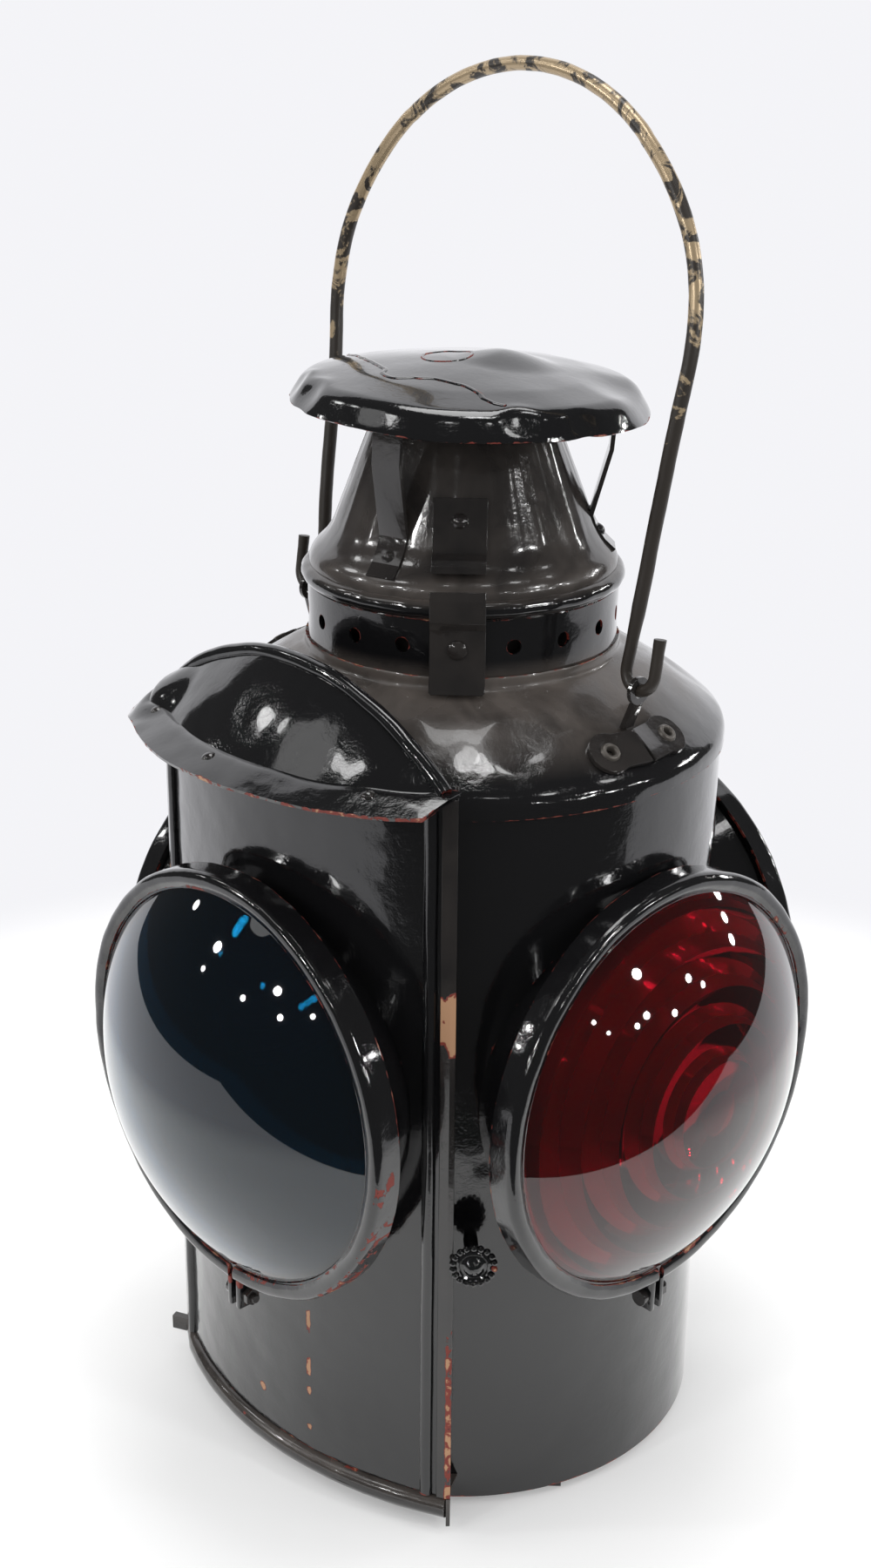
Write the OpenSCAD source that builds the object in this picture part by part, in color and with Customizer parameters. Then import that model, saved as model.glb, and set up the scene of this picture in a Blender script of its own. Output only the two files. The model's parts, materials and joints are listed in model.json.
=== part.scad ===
// Four-lens railway signal lantern: round sheet body, sliding front door, hinged chimney and wire bail.
// Millimetres, +Z up. The origin is on the lamp's axis, in the plane that the base bars stand on.
// The door faces -Y. The bail hangs in ears on +X and -X.

/* [Body] */
// Outer radius of the round body
body_r = 90; // [88:0.5:94]
// Height of the body wall, up to the lower edge of the shoulder rim
body_h = 258.5; // [254:0.5:266]
// Thickness of the sheet metal
sheet = 1; // [0.8:0.1:1.2]
// Height of the two bars under the base
bar_h = 4; // [3:0.5:6]
// Width of each base bar
bar_w = 12; // [10:1:16]
// Distance of each base bar from the lamp's axis
bar_offset = 34; // [32:1:40]
// Width of the opening behind the door
opening_w = 104; // [98:1:108]
// Height of the lower edge of that opening above the ground
opening_z = 28; // [24:1:34]
// Height of the wall that is left above that opening
opening_top = 14.5; // [12:0.5:30]

/* [Shoulder and collar] */
// How far the shoulder rim stands out past the body
rim_over = 1.3; // [1.3:0.1:2.5]
// Rise of the shoulder from its rim to its neck
shoulder_rise = 31; // [28:0.5:34]
// Outer radius of the perforated collar
collar_r = 53; // [52:0.5:54]
// Height of the collar above the neck
collar_h = 22.5; // [20:0.5:25]
// Number of air holes, one of which holds the latch rivet
vent_count = 18; // [18:18:36]
// Radius of an air hole
vent_r = 2; // [1.5:0.1:2.2]
// How far the wind baffle stands inside the collar
baffle_in = 7; // [6:0.5:11]

/* [Chimney] */
// Radius of the wired ring at the foot of the chimney
ring_wire_r = 3.3; // [3:0.1:3.5]
// Height of the cone above the collar
cone_h = 58.5; // [54:0.5:62]
// Radius of the cone's open top
cone_top_r = 28; // [26:0.5:32]
// Direction of the chimney hinge, in degrees from +X
hinge_az = 115; // [110:1:118]
// Radius of the hinge pin
pin_r = 1.2; // [1:0.1:1.4]

/* [Hat] */
// Radius of the hat's rim
hat_r = 60; // [57:0.5:62]
// Height of the hat's rim above the collar
hat_gap = 58; // [56:0.5:62]
// Height of the hat from its rim to its crown
hat_rise = 17; // [14:0.5:20]
// Depth of the turned-down edge of the hat
hat_lip = 7.5; // [6:0.5:9]
// Width of a hat strap
strap_w = 10.5; // [8:0.5:13]
// Thickness of a hat strap
strap_t = 1.5; // [1.2:0.1:2]
// How far inside the hat's rim the straps stand
strap_in = 11.2; // [10:0.2:14]

/* [Bail] */
// Radius of the bail wire
wire_r = 2; // [1.8:0.1:2.2]
// How much further out than its pivots the bail's arch bulges on each side
bail_bulge = 1.8; // [1.4:0.1:3]
// Height of the bail's centre line above its pivots
bail_h = 189.5; // [184:0.5:194]
// How far each bail pivot lies inside the body's wall
pivot_in = 9.3; // [8:0.1:10]
// Height of the bail pivots above the neck of the shoulder
pivot_up = 1.5; // [1:0.5:3]
// Inner bend radius of the hooks, to the wire's centre
hook_r = 6; // [5.5:0.5:7]
// Length of the straight end of each hook
hook_end = 12; // [8:1:14]
// Backward lean of the bail as it stands, in degrees
bail_lean = 8.5; // [0:0.5:10]
// Clearance of the wire in its ear, on the radius
ear_gap = 0.4; // [0.3:0.05:0.5]

/* [Door] */
// Radius of the door's shallow curve in plan
door_curve_r = 150; // [140:1:165]
// Clearance between the body and the back of the door
door_gap = 0.6; // [0.5:0.1:1]
// Distance from each edge of the door panel to the middle of its guide, across the door
edge_gap = 1.8; // [1.6:0.1:2.4]
// How much taller the door panel is than the body's wall
door_over = 1.5; // [0.5:0.5:3]
// Clearance of the door in its guides
slide_gap = 0.4; // [0.3:0.05:0.5]
// How far a guide stands out past the door's curve
guide_past = 1.1; // [0.9:0.1:2.5]
// Radius of the rolled bead down each door edge
edge_bead_r = 2.5; // [2:0.1:2.8]
// How much shorter than the door the hood's rear edge is on each side
hood_inset = 1; // [0:0.5:2]
// How far behind the middle of the door the hood's rear edge lies
hood_setback = 16.6; // [15:0.2:18]
// Rise of the hood, and its depth, from its rear corner
hood_rise = 27; // [24:0.5:29]
// Radius of the wire rolled into the hood's rear edge
hood_wire_r = 2.3; // [2:0.1:2.6]
// Radius of the bead along the sill
sill_bead_r = 3; // [2.5:0.1:3.4]

/* [Lenses] */
// Height of the lens axes above the base
lens_z = 159; // [155:0.5:163]
// How far the front of a fixed lens ring stands out past the body
lens_stand = 13; // [12:0.5:16]
// How much further out the door's lens ring stands
door_lens_out = 6; // [5:0.5:7]
// Outer radius of a lens ring
ring_r = 76; // [74:0.5:76.5]
// Depth of a lens ring
ring_depth = 10.2; // [9:0.1:12]
// Width of the lens ring's front lip
lip_w = 6; // [5:0.5:7]
// Bulge of the glass in front of its ring
glass_bulge = 26; // [22:0.5:28]
// Thickness of the glass at its steps
glass_wall = 9; // [8:0.5:11]
// Slope of the lens collar, radius gained per unit of depth
cone_slope = 0.6; // [0.55:0.01:0.65]
// Gap between the two ears of a lens ring
split_gap = 2.4; // [2:0.1:3]
// Radius of a clamp bolt
bolt_r = 1.5; // [1.3:0.1:1.7]

/* [Lock knob] */
// Radius of the knurled knob
knob_r = 8.4; // [7.5:0.1:8.8]
// Height of the knob above the base
knob_z = 110; // [104:1:114]
// Direction of the knob, in degrees from +X
knob_az = -41; // [-41:0.5:-40]

/* [Burner and oil font] */
// Inner radius of the socket for the stand's spindle
socket_r = 17.5; // [16:0.5:19]
// Depth of that socket
socket_h = 40; // [36:1:42]
// Radius of the oil font
font_r = 44; // [40:0.5:46]
// Height of the oil font
font_h = 64; // [56:1:66]
// Height of the burner, from the font to the slot in its cone
burner_h = 34; // [30:1:36]
// Width of the wick
wick_w = 15; // [12:0.5:16]
// Thickness of the wick
wick_t = 2; // [1.6:0.1:2.4]

/* [Hidden] */
$fn = 96;
small_fn = 32;
seat = 0.1;
far = 400;
latch_az = -46;
strap_first_az = -76;
vent_up = 13.3;
rivet_r = 1.5;
rivet_gap = 0.05;
ear_rivet_r = 2;
ear_t = 1.6;
ear_lobe_r = 7.4;
ear_half_w = 6.4;
ear_reach = 13.6;
ear_strip_w = 4.6;
z_rim = bar_h + body_h;
opening_h = z_rim - opening_top - opening_z;
rim_r = body_r + rim_over;
z_neck = z_rim + shoulder_rise;
neck_r = collar_r + seat + sheet;
rim_corner = 2.2;
rim_band = 8;
slope_a = 0.458;
slope_run = rim_r - rim_corner - neck_r;
slope_b = (shoulder_rise - rim_band - slope_a * slope_run) / pow(slope_run, 2);
z_collar = z_neck + collar_h;
baffle_r = collar_r - baffle_in;
z_ring = z_collar + seat + ring_wire_r;
spigot_r = collar_r - sheet - 0.5;
z_hat = z_collar + hat_gap;
hinge_r = collar_r + 5;
hinge_z = z_collar + 1.5;
z_pivot = z_neck + pivot_up;
pivot_x = body_r - pivot_in;
bail_half_w = pivot_x + bail_bulge;
lens_front = body_r + lens_stand;
door_front = body_r + door_gap + sheet;
door_cy = door_curve_r - door_front;
guide_x = (sqrt(2 * pow(door_curve_r, 2) - pow(door_cy, 2)) - door_cy) / 2;
guide_r = guide_x * sqrt(2) + guide_past;
door_half_w = guide_x - edge_gap;
door_h = body_h + door_over;
door_z = bar_h + 10.3;
brim_t = 1.2;
z_hood = door_z + door_h + brim_t + sheet - 0.3;
hood_half_w = door_half_w - hood_inset;
hood_back = door_front - hood_setback;
hood_c = (pow(hood_half_w, 2) - pow(hood_rise, 2)) / (2 * hood_rise);
hood_arc_r = hood_rise + hood_c;
hood_ball_r = sqrt(pow(hood_arc_r, 2) + pow(hood_c, 2));
brim_cy = 3;
brim_in = hood_back + hood_rise - brim_cy;
brim_out = brim_in + 13;
brim_half_w = hood_half_w + 3;
brim_drop = 4;
z_guide_top = z_hood - brim_t - slide_gap;
glass_r = ring_r - sheet - 1.8;
dome_r = ring_r - lip_w - 0.6;
seat_r = ring_r - sheet - 0.4;
cone_mouth_r = ring_r - 3.6;
glass_t = 4;
gasket_t = 2;
ear_drop = 11;
z_shelf = bar_h + sheet + socket_h;
z_font = z_shelf + sheet + 0.1;
z_burner = z_font + font_h;
wick_shaft_z = z_burner + 17;
socket_wall = 2.5;
socket_flange = 12;
stand_r = socket_r + socket_flange + 0.3;
stand_foot = 11.7;
tray_gap = 2.4;
tray_lip = 5;
clip_w = 12;
clip_t = 0.8;
clip_bend = 24;
clip_flare = 2.8;
clip_h = 34;
bar_rivet_x = 50;
bar_rivet_r = 2;
bar_rivet_head_r = 3.6;
bar_rivet_head_h = 1.6;
shaft_r = 1.2;
shaft_gap = 0.05;
shaft_reach = 36;
wheel_r = 7.5;
wheel_t = 3;
filler_r = 6.4;
filler_x = font_r - 18;
cone_shell_r = 18.9;
cone_slot_r = 11;
spur_half = 4;
spur_r = 2.6;
spur_x = wick_t / 2 + 0.15 + spur_r;
knob_face_r = guide_r + 0.5;
FIXED = [0, 90, 180];

// Height of the shoulder's surface at a distance from the axis
function shoulder_z(r) = z_neck - slope_a * (r - neck_r) - slope_b * pow(r - neck_r, 2);
// Depth of a point on the glass dome, measured from the plane of its foot
function dome_x(r, ball, rise) = rise - ball + sqrt(ball * ball - r * r);
// Outer radius of the chimney cone at a height above the collar, past its waist
function cone_r(up) = cone_top_r + (waist_r - cone_top_r) * (cone_h - up) / (cone_h - waist_up);
waist_up = 23;
waist_r = spigot_r - 9.7;
// The flare over the wired ring, from the spigot to the waist of the cone
FLARE = [[spigot_r - 1.2, 10.6], [spigot_r - 5, 14.2], [spigot_r - 8.2, 19], [waist_r, waist_up]];
// Unit vector to the right of a segment
function right_of(a, b) = [b[1] - a[1], a[0] - b[0]] / norm(b - a);
// Point of a line moved d to its right, so that both neighbours stay d away
function beside_point(line, i, d) =
    let (n0 = right_of(line[max(i - 1, 0)], line[max(i, 1)]),
        n1 = right_of(line[min(i, len(line) - 2)], line[min(i + 1, len(line) - 1)]))
    line[i] + (n0 + n1) * d / (1 + n0 * n1);
// Closed outline of a sheet of thickness t that runs d away from the right of a line
function beside(line, d, t) = concat([for (i = [0 : len(line) - 1]) beside_point(line, i, d)],
    [for (i = [len(line) - 1 : -1 : 0]) beside_point(line, i, d + t)]);

// Tube that stands on the XY plane
module tube(r_out, r_in, h) {
    difference() {
        cylinder(r = r_out, h = h);
        translate([0, 0, -1]) cylinder(r = r_in, h = h + 2);
    }
}

// Low round head of a rivet, base on the XY plane
module round_head(r, h) {
    ball = (r * r + h * h) / (2 * h);
    intersection() {
        translate([0, 0, h - ball]) sphere(r = ball, $fn = small_fn);
        cylinder(r = r, h = h, $fn = small_fn);
    }
}

// Turns a profile drawn in (distance from axis, height) into a strip of width w at an azimuth
module strip(az, w) {
    rotate([0, 0, az]) translate([0, w / 2, 0]) rotate([90, 0, 0]) linear_extrude(height = w) children();
}

// Places children on the axis of a lens: +Z of the child points outwards from the lamp
module on_lens(az) {
    rotate([0, 0, az]) translate([0, 0, lens_z]) rotate([0, 90, 0]) children();
}

// Solid cone that a lens collar follows; front is the ring's front, grow thickens it
module collar_cone(front, grow) {
    x1 = front - 8.6;
    x0 = body_r * 0.5;
    on_axis_r1 = cone_mouth_r + grow;
    on_axis_r0 = cone_mouth_r + grow - cone_slope * (x1 - x0);
    translate([0, 0, x0]) cylinder(r1 = on_axis_r0, r2 = on_axis_r1, h = x1 - x0);
}

module body_shell() {
    color("#1b1b1d") difference() {
        translate([0, 0, bar_h]) tube(body_r, body_r - sheet, body_h + 4);
        translate([-opening_w / 2, -body_r - 5, opening_z]) cube([opening_w, body_r, opening_h]);
        for (az = FIXED) on_lens(az) collar_cone(lens_front, -sheet);
        rotate([0, 0, knob_az]) translate([body_r - 5, 0, knob_z]) rotate([0, 90, 0])
            cylinder(r = 2.6, h = 10, $fn = small_fn);
    }
}

module bottom_pan() {
    pan_r = body_r - sheet - seat;
    color("#1b1b1d") difference() {
        translate([0, 0, bar_h]) cylinder(r = pan_r, h = 9);
        translate([0, 0, bar_h + sheet]) cylinder(r = pan_r - sheet, h = 9);
        translate([0, 0, bar_h - 1]) cylinder(r = socket_r + socket_wall + seat, h = 4);
        base_rivet_places() translate([0, 0, -1]) bar_rivet_hole();
    }
}

// The two runners lie along the diagonal that runs from the door guide
module base_bar_places() {
    for (s = [-1, 1]) rotate([0, 0, -45]) translate([0, s * bar_offset, 0]) children();
}

module base_rivet_places() {
    base_bar_places() for (x = [-bar_rivet_x, bar_rivet_x]) translate([x, 0, 0]) children();
}

module bar_rivet_hole() {
    cylinder(r = bar_rivet_r + rivet_gap, h = bar_h + 8, $fn = small_fn);
}

module base_bars() {
    half = sqrt(pow(body_r - 1.5, 2) - pow(bar_offset + bar_w / 2, 2)) - 1;
    color("#161617") difference() {
        base_bar_places() translate([-half, -bar_w / 2, 0]) cube([2 * half, bar_w, bar_h]);
        base_rivet_places() translate([0, 0, -1]) bar_rivet_hole();
    }
}

module base_rivets() {
    color("#2a2a2c") base_rivet_places() {
        translate([0, 0, 0.6]) cylinder(r = bar_rivet_r, h = bar_h + sheet - 0.6, $fn = small_fn);
        translate([0, 0, bar_h + sheet]) round_head(bar_rivet_head_r, bar_rivet_head_h);
    }
}

// The socket's mouth is level with the feet of the bars; its flange lies on the pan
module spindle_socket() {
    top = bar_h + socket_h;
    color("#3a3a3d") {
        tube(socket_r + socket_wall, socket_r, top);
        translate([0, 0, top - sheet]) cylinder(r = socket_r + socket_wall, h = sheet);
        translate([0, 0, bar_h + sheet]) tube(socket_r + socket_flange, socket_r, 2);
    }
}

module font_stand() {
    color("#2b2b2d") translate([0, 0, bar_h + sheet]) {
        tube(stand_r + sheet, stand_r, socket_h);
        tube(stand_r + stand_foot, stand_r, sheet);
        translate([0, 0, socket_h]) cylinder(r = font_r + tray_gap + sheet, h = sheet);
        translate([0, 0, socket_h]) tube(font_r + tray_gap + sheet, font_r + tray_gap, tray_lip);
    }
}

module font_clips() {
    r0 = font_r + 0.6;
    r1 = r0 + clip_t;
    color("#8c8a80") for (s = [0, 180]) strip(s, clip_w)
        translate([0, z_font]) polygon([[r0, 0.2], [r1, 0.2], [r1, clip_bend], [r1 + clip_flare, clip_h],
            [r0 + clip_flare, clip_h], [r0, clip_bend]]);
}

// Plan outline of a sector between two radii, drawn in front of the lamp about the door's centre
module door_sector(r_out, r_in, half_x) {
    half_a = asin(half_x / door_curve_r);
    translate([0, door_cy, 0]) intersection() {
        difference() {
            circle(r = r_out, $fn = 180);
            circle(r = r_in, $fn = 180);
        }
        polygon([[0, 0], [-tan(half_a) * far, -far], [tan(half_a) * far, -far]]);
    }
}

module door_sill() {
    bead_r = door_curve_r - 0.8;
    half_a = asin((door_half_w + 1) / door_curve_r);
    z_top = door_z - 0.3;
    color("#1b1b1d") {
        difference() {
            union() {
                translate([0, 0, z_top - 1.2]) linear_extrude(height = 1.2)
                    door_sector(bead_r, body_r * 0.5, door_half_w + 1);
                translate([0, door_cy, z_top - sill_bead_r]) rotate([0, 0, 270 - half_a])
                    rotate_extrude(angle = 2 * half_a, $fn = 180)
                        translate([bead_r, 0]) circle(r = sill_bead_r, $fn = small_fn);
            }
            translate([0, 0, -1]) cylinder(r = body_r + 0.05, h = 60);
        }
        for (s = [-1, 1]) rotate([0, 0, s > 0 ? -45 : -135])
            translate([body_r + 0.2, -0.7, z_top - 8]) cube([guide_r - body_r - 0.6, 1.4, 8]);
        translate([-door_half_w - 8, -door_front + 14.5, z_top - 5.5]) rotate([0, 0, 24])
            cube([9, 3, 5.5]);
    }
}

// Plan of the right guide: a radial web, a lip over the door's edge and a lip behind it
module guide_plan() {
    lip_out = door_curve_r + slide_gap;
    lip_in = door_curve_r - sheet - slide_gap;
    rotate([0, 0, -45]) translate([body_r + 0.05, -0.6]) square([guide_r - body_r - 0.05, 1.2]);
    intersection() {
        union() {
            door_sector(lip_out + sheet, lip_out, guide_r);
            door_sector(lip_in, lip_in - sheet, guide_r);
        }
        rotate([0, 0, -45]) translate([0, -7]) square([far, 7]);
        rotate([0, 0, -45]) translate([guide_r - 12, -4.4]) square([12, 5]);
    }
    intersection() {
        door_sector(lip_in, lip_in - sheet, guide_r);
        rotate([0, 0, -45]) translate([0, -8]) square([guide_r, 8]);
    }
    intersection() {
        difference() {
            circle(r = body_r + 0.05 + sheet);
            circle(r = body_r + 0.05);
        }
        rotate([0, 0, -45]) translate([0, -9]) square([far, 9]);
    }
}

module door_guide_right() {
    z0 = door_z;
    color("#202022") difference() {
        translate([0, 0, z0]) linear_extrude(height = z_guide_top - z0) guide_plan();
        translate([0, 0, z_rim - seat]) cylinder(r = rim_r + seat, h = 40);
    }
}

module door_guide_left() {
    mirror([1, 0, 0]) door_guide_right();
}

function shoulder_curve(drop) = [for (i = [0 : 12]) let (r = neck_r + slope_run * i / 12)
    [r, shoulder_z(r) - drop]];

module shoulder() {
    under = [for (i = [12 : -1 : 0]) shoulder_curve(sheet * 1.25)[i]];
    outline = concat([[neck_r - sheet, z_neck + 4], [neck_r - 0.3, z_neck + 4],
        [neck_r, z_neck + 3.6]], shoulder_curve(0),
        [[rim_r - 0.75, z_rim + 6.4], [rim_r, z_rim + 4.2], [rim_r, z_rim], [rim_r - sheet, z_rim],
        [rim_r - sheet, z_rim + 4.2], [rim_r - sheet - 1.5, z_rim + 6.6]], under,
        [[neck_r - sheet, z_neck - 2]]);
    color("#1f1f20") difference() {
        rotate_extrude() polygon(outline);
        translate([0, 0, z_rim - 1]) linear_extrude(height = 20)
            door_sector(far, door_curve_r - sheet - slide_gap, door_half_w - 20);
    }
}

module vent_collar() {
    color("#1c1c1e") difference() {
        translate([0, 0, z_neck - 2.5]) tube(collar_r, collar_r - sheet, collar_h + 2.5);
        for (i = [0 : vent_count - 1]) rotate([0, 0, latch_az + i * 360 / vent_count])
            translate([collar_r - 5, 0, z_neck + vent_up]) rotate([0, 90, 0])
                cylinder(r = vent_r, h = 10, $fn = small_fn);
        for (y = [-7, 7]) rotate([0, 0, hinge_az]) translate([collar_r - 5, y, z_neck + 11])
            rotate([0, 90, 0]) cylinder(r = 1.25, h = 10, $fn = small_fn);
    }
}

module wind_baffle() {
    z0 = z_neck - 2.5;
    color("#4a4a4c") {
        translate([0, 0, z0]) tube(baffle_r + 1, baffle_r, collar_h - 3);
        translate([0, 0, z0]) tube(collar_r - sheet - 0.05, baffle_r, sheet);
    }
}

// Riveted places of one bail ear, on the +X side; s picks the lobe
module ear_lobe(s) {
    lobe_r = pivot_x + 1.3;
    tilt = atan(slope_a + 2 * slope_b * (lobe_r - neck_r));
    rotate([0, 0, s * 9.4]) translate([lobe_r, 0, shoulder_z(lobe_r)]) rotate([0, tilt, 0])
        translate([0, 0, 0.12]) children();
}

module ear() {
    foot_r = pivot_x - 4.1;
    foot_z = shoulder_z(foot_r) + 1.2;
    eye_r = wire_r + ear_gap;
    half_t = ear_t / 2;
    color("#242426") {
        difference() {
            union() {
                for (s = [-1, 1]) ear_lobe(s) {
                    cylinder(r = ear_lobe_r, h = ear_t);
                    translate([-ear_half_w, s > 0 ? -ear_reach : 0, 0])
                        cube([2 * ear_half_w, ear_reach, ear_t]);
                }
                translate([0, ear_strip_w / 2, 0]) rotate([90, 0, 0]) linear_extrude(height = ear_strip_w)
                    polygon([[foot_r - 1.4, foot_z], [foot_r + 0.8, foot_z],
                    [pivot_x + half_t, z_pivot - 3], [pivot_x + half_t, z_pivot], [pivot_x - half_t, z_pivot],
                    [pivot_x - half_t, z_pivot - 2.6]]);
                translate([pivot_x - half_t, 0, z_pivot]) rotate([0, 90, 0])
                    cylinder(r = eye_r + 2.2, h = ear_t, $fn = 48);
            }
            translate([pivot_x - 8, 0, z_pivot]) rotate([0, 90, 0]) cylinder(r = eye_r, h = 16, $fn = 48);
            for (s = [-1, 1]) ear_lobe(s) translate([0, 0, -3])
                cylinder(r = ear_rivet_r + rivet_gap, h = 9, $fn = small_fn);
        }
    }
}

module ear_right() {
    ear();
}

module ear_left() {
    mirror([1, 0, 0]) ear();
}

module ear_rivets() {
    color("#2b2b2d") for (m = [0, 1]) mirror([m, 0, 0]) for (s = [-1, 1]) ear_lobe(s) difference() {
        union() {
            translate([0, 0, 0.02]) cylinder(r = ear_rivet_r, h = ear_t, $fn = small_fn);
            translate([0, 0, ear_t + 0.02])
                cylinder(r1 = ear_rivet_r + 1, r2 = ear_rivet_r + 0.6, h = 1, $fn = small_fn);
        }
        translate([0, 0, 0.4]) cylinder(r = ear_rivet_r - 0.9, h = 4, $fn = small_fn);
    }
}

knuckle_r = pin_r + 1.2;
leaf_half = 11;
knuckle_gap = 0.15;
centre_knuckle = 5;

// Places a child along the chimney hinge's pin line, X outwards, Y along the pin
module on_hinge() {
    rotate([0, 0, hinge_az]) translate([hinge_r, 0, hinge_z]) children();
}

// Round bar along the hinge's pin line, as long to each side
module along_pin(r, half) {
    on_hinge() translate([0, half, 0]) rotate([90, 0, 0]) cylinder(r = r, h = 2 * half, $fn = small_fn);
}

module chimney_hinge_leaf() {
    z0 = z_neck + 5;
    color("#222224") difference() {
        union() {
            rotate([0, 0, hinge_az]) translate([collar_r + seat, -leaf_half, z0])
                cube([sheet, 2 * leaf_half, 12]);
            for (s = [-1, 1]) on_hinge() translate([0, s * (centre_knuckle + knuckle_gap
                + (leaf_half - centre_knuckle) / 2), 0]) {
                w = leaf_half - centre_knuckle;
                translate([0, w / 2, 0]) rotate([90, 0, 0]) cylinder(r = knuckle_r, h = w, $fn = small_fn);
                translate([0, w / 2, 0]) rotate([90, 0, 0]) linear_extrude(height = w)
                    polygon([[collar_r + seat - hinge_r, z0 + 10 - hinge_z],
                        [collar_r + seat - hinge_r, z0 + 12 - hinge_z],
                        [-knuckle_r * 0.7, -knuckle_r * 0.7], [0, 0], [knuckle_r, 0],
                        [knuckle_r, -1]]);
            }
        }
        along_pin(pin_r + 0.02, 20);
        for (y = [-7, 7]) rotate([0, 0, hinge_az]) translate([collar_r - 5, y, z_neck + 11])
            rotate([0, 90, 0]) cylinder(r = 1.25, h = 10, $fn = small_fn);
    }
}

module chimney_hinge_pin() {
    half = leaf_half + 1.2;
    color("#55565a") {
        along_pin(pin_r, half);
        for (y = [-7, 7]) rotate([0, 0, hinge_az]) translate([collar_r - sheet - 0.3, y, z_neck + 11])
            rotate([0, 90, 0]) {
                cylinder(r = 1.2, h = sheet * 2 + 0.8, $fn = small_fn);
                translate([0, 0, sheet * 2 + 0.5]) round_head(2.2, 1);
            }
    }
}

module chimney_hinge_strap() {
    up = hinge_z - z_collar;
    color("#222224") difference() {
        union() {
            along_pin(knuckle_r, centre_knuckle);
            strip(hinge_az, 2 * centre_knuckle) translate([0, z_collar])
                polygon(beside([[hinge_r + 0.8, up + 1], [hinge_r - 1.6, up + 6.4], FLARE[1], FLARE[2],
                    FLARE[3], [cone_r(30), 30]], 0.1, 1.2));
        }
        along_pin(pin_r + 0.05, 20);
    }
}

// Profile of the cone: a spigot inside the collar, a flare over the ring, then the straight cone
module chimney_cone() {
    outer = concat([[spigot_r, -5], [spigot_r, 8]], FLARE, [[cone_top_r, cone_h]]);
    color("#1d1d1f") translate([0, 0, z_collar]) rotate_extrude() polygon(beside(outer, -sheet, sheet));
}

module chimney_ring() {
    color("#1c1c1e") translate([0, 0, z_ring]) difference() {
        rotate_extrude() translate([spigot_r + 0.4, 0]) circle(r = ring_wire_r, $fn = small_fn);
        translate([0, 0, -10]) cylinder(r = spigot_r + 0.02, h = 20);
    }
}

// Line of a hat strap: up the flare of the cone, away from the cone, then in under the hat
function strap_line() = concat(FLARE, [[strap_r - strap_t, hat_gap - 12],
    [strap_r - strap_t + 0.4, strap_top], [strap_r - 8, strap_top + 1.5]]);
strap_r = hat_r - strap_in;
strap_top = hat_gap + hat_lip - 0.8;
rivet_line = 1.2;

module hat_straps() {
    color("#1f1f21") for (i = [0 : 2]) difference() {
        strip(strap_first_az + i * 120, strap_w) translate([0, z_collar])
            polygon(beside(strap_line(), 0.15, strap_t));
        strap_rivet_place(i) translate([0, 0, -4]) cylinder(r = 1.35, h = 8, $fn = small_fn);
    }
}

// The rivet sits square on the strap, half way up the flare
module strap_rivet_place(i) {
    mid = (FLARE[1] + FLARE[2]) / 2;
    n = right_of(FLARE[1], FLARE[2]);
    at = mid + n * (0.15 + strap_t);
    rotate([0, 0, strap_first_az + i * 120]) translate([at[0], 0, z_collar + at[1]])
        rotate([0, 90 - atan2(n[1], n[0]), 0]) children();
}

module strap_rivets() {
    color("#2b2b2d") for (i = [0 : 2]) strap_rivet_place(i) {
        round_head(2.4, rivet_line);
        translate([0, 0, -strap_t]) cylinder(r = 1.3, h = strap_t + 0.1, $fn = small_fn);
    }
}

module hat() {
    crown = hat_rise;
    outer = [[0, crown], [8, crown], [9.2, crown - 0.9], [20, crown - 2.2], [40, crown - 5.2],
        [hat_r - 6.5, hat_lip + 1.4], [hat_r - 4, hat_lip - 0.6], [hat_r - 0.8, 1.6], [hat_r, 0]];
    inner = [for (i = [len(outer) - 1 : -1 : 0]) [max(0, outer[i][0] - (i > 4 ? sheet : 0)),
        outer[i][1] - (i > 4 ? 0.5 : 1.1) * sheet]];
    color("#1a1a1c") translate([0, 0, z_hat]) rotate_extrude() polygon(concat(outer, inner));
}

module hasp_plate() {
    w = 17.5;
    n = right_of(FLARE[3], [cone_top_r, cone_h]);
    color("#1e1e20") {
        strip(latch_az, w) translate([0, z_collar]) polygon(beside([FLARE[1], FLARE[2], FLARE[3],
            [cone_r(36), 36]], 0.15, 1.3));
        strip(latch_az, w) translate([0, z_collar]) polygon([FLARE[1] + [0.5, 1.4], FLARE[1] + [2.6, 0.4],
            FLARE[1] + [5, 0.8], FLARE[1] + [5.4, 3.2], FLARE[1] + [4, 5], FLARE[1] + [0.5, 6.4]]);
        rotate([0, 0, latch_az]) translate([cone_r(29) + n[0] * 1.4, 0, z_collar + 29 + n[1] * 1.4])
            rotate([0, 90 - atan2(n[1], n[0]), 0]) round_head(2.6, 1.6);
    }
}

module latch_strip() {
    w = 18;
    r0 = collar_r + 0.7;
    color("#242426") difference() {
        strip(latch_az, w) translate([0, z_neck]) polygon([[r0, 8.5], [r0, 20], [r0 + 2.2, 23],
            [r0 + 2.5, 30], [r0 + 1.6, 32.6], [r0 + 2.4, 33], [r0 + 3.3, 30], [r0 + 3.1, 22.6],
            [r0 + 0.9, 19.7], [r0 + 0.9, 8.2], [r0 + 5.6, -0.4], [r0 + 4.8, -0.8]]);
        rotate([0, 0, latch_az]) translate([collar_r - 4, 0, z_neck + vent_up]) rotate([0, 90, 0])
            cylinder(r = vent_r + 0.4, h = 12, $fn = small_fn);
        for (s = [-1, 1]) rotate([0, 0, latch_az]) translate([collar_r, s * w / 2, z_neck - 3])
            rotate([45, 0, 0]) cube([20, 4.6, 4.6], center = true);
    }
}

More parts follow.
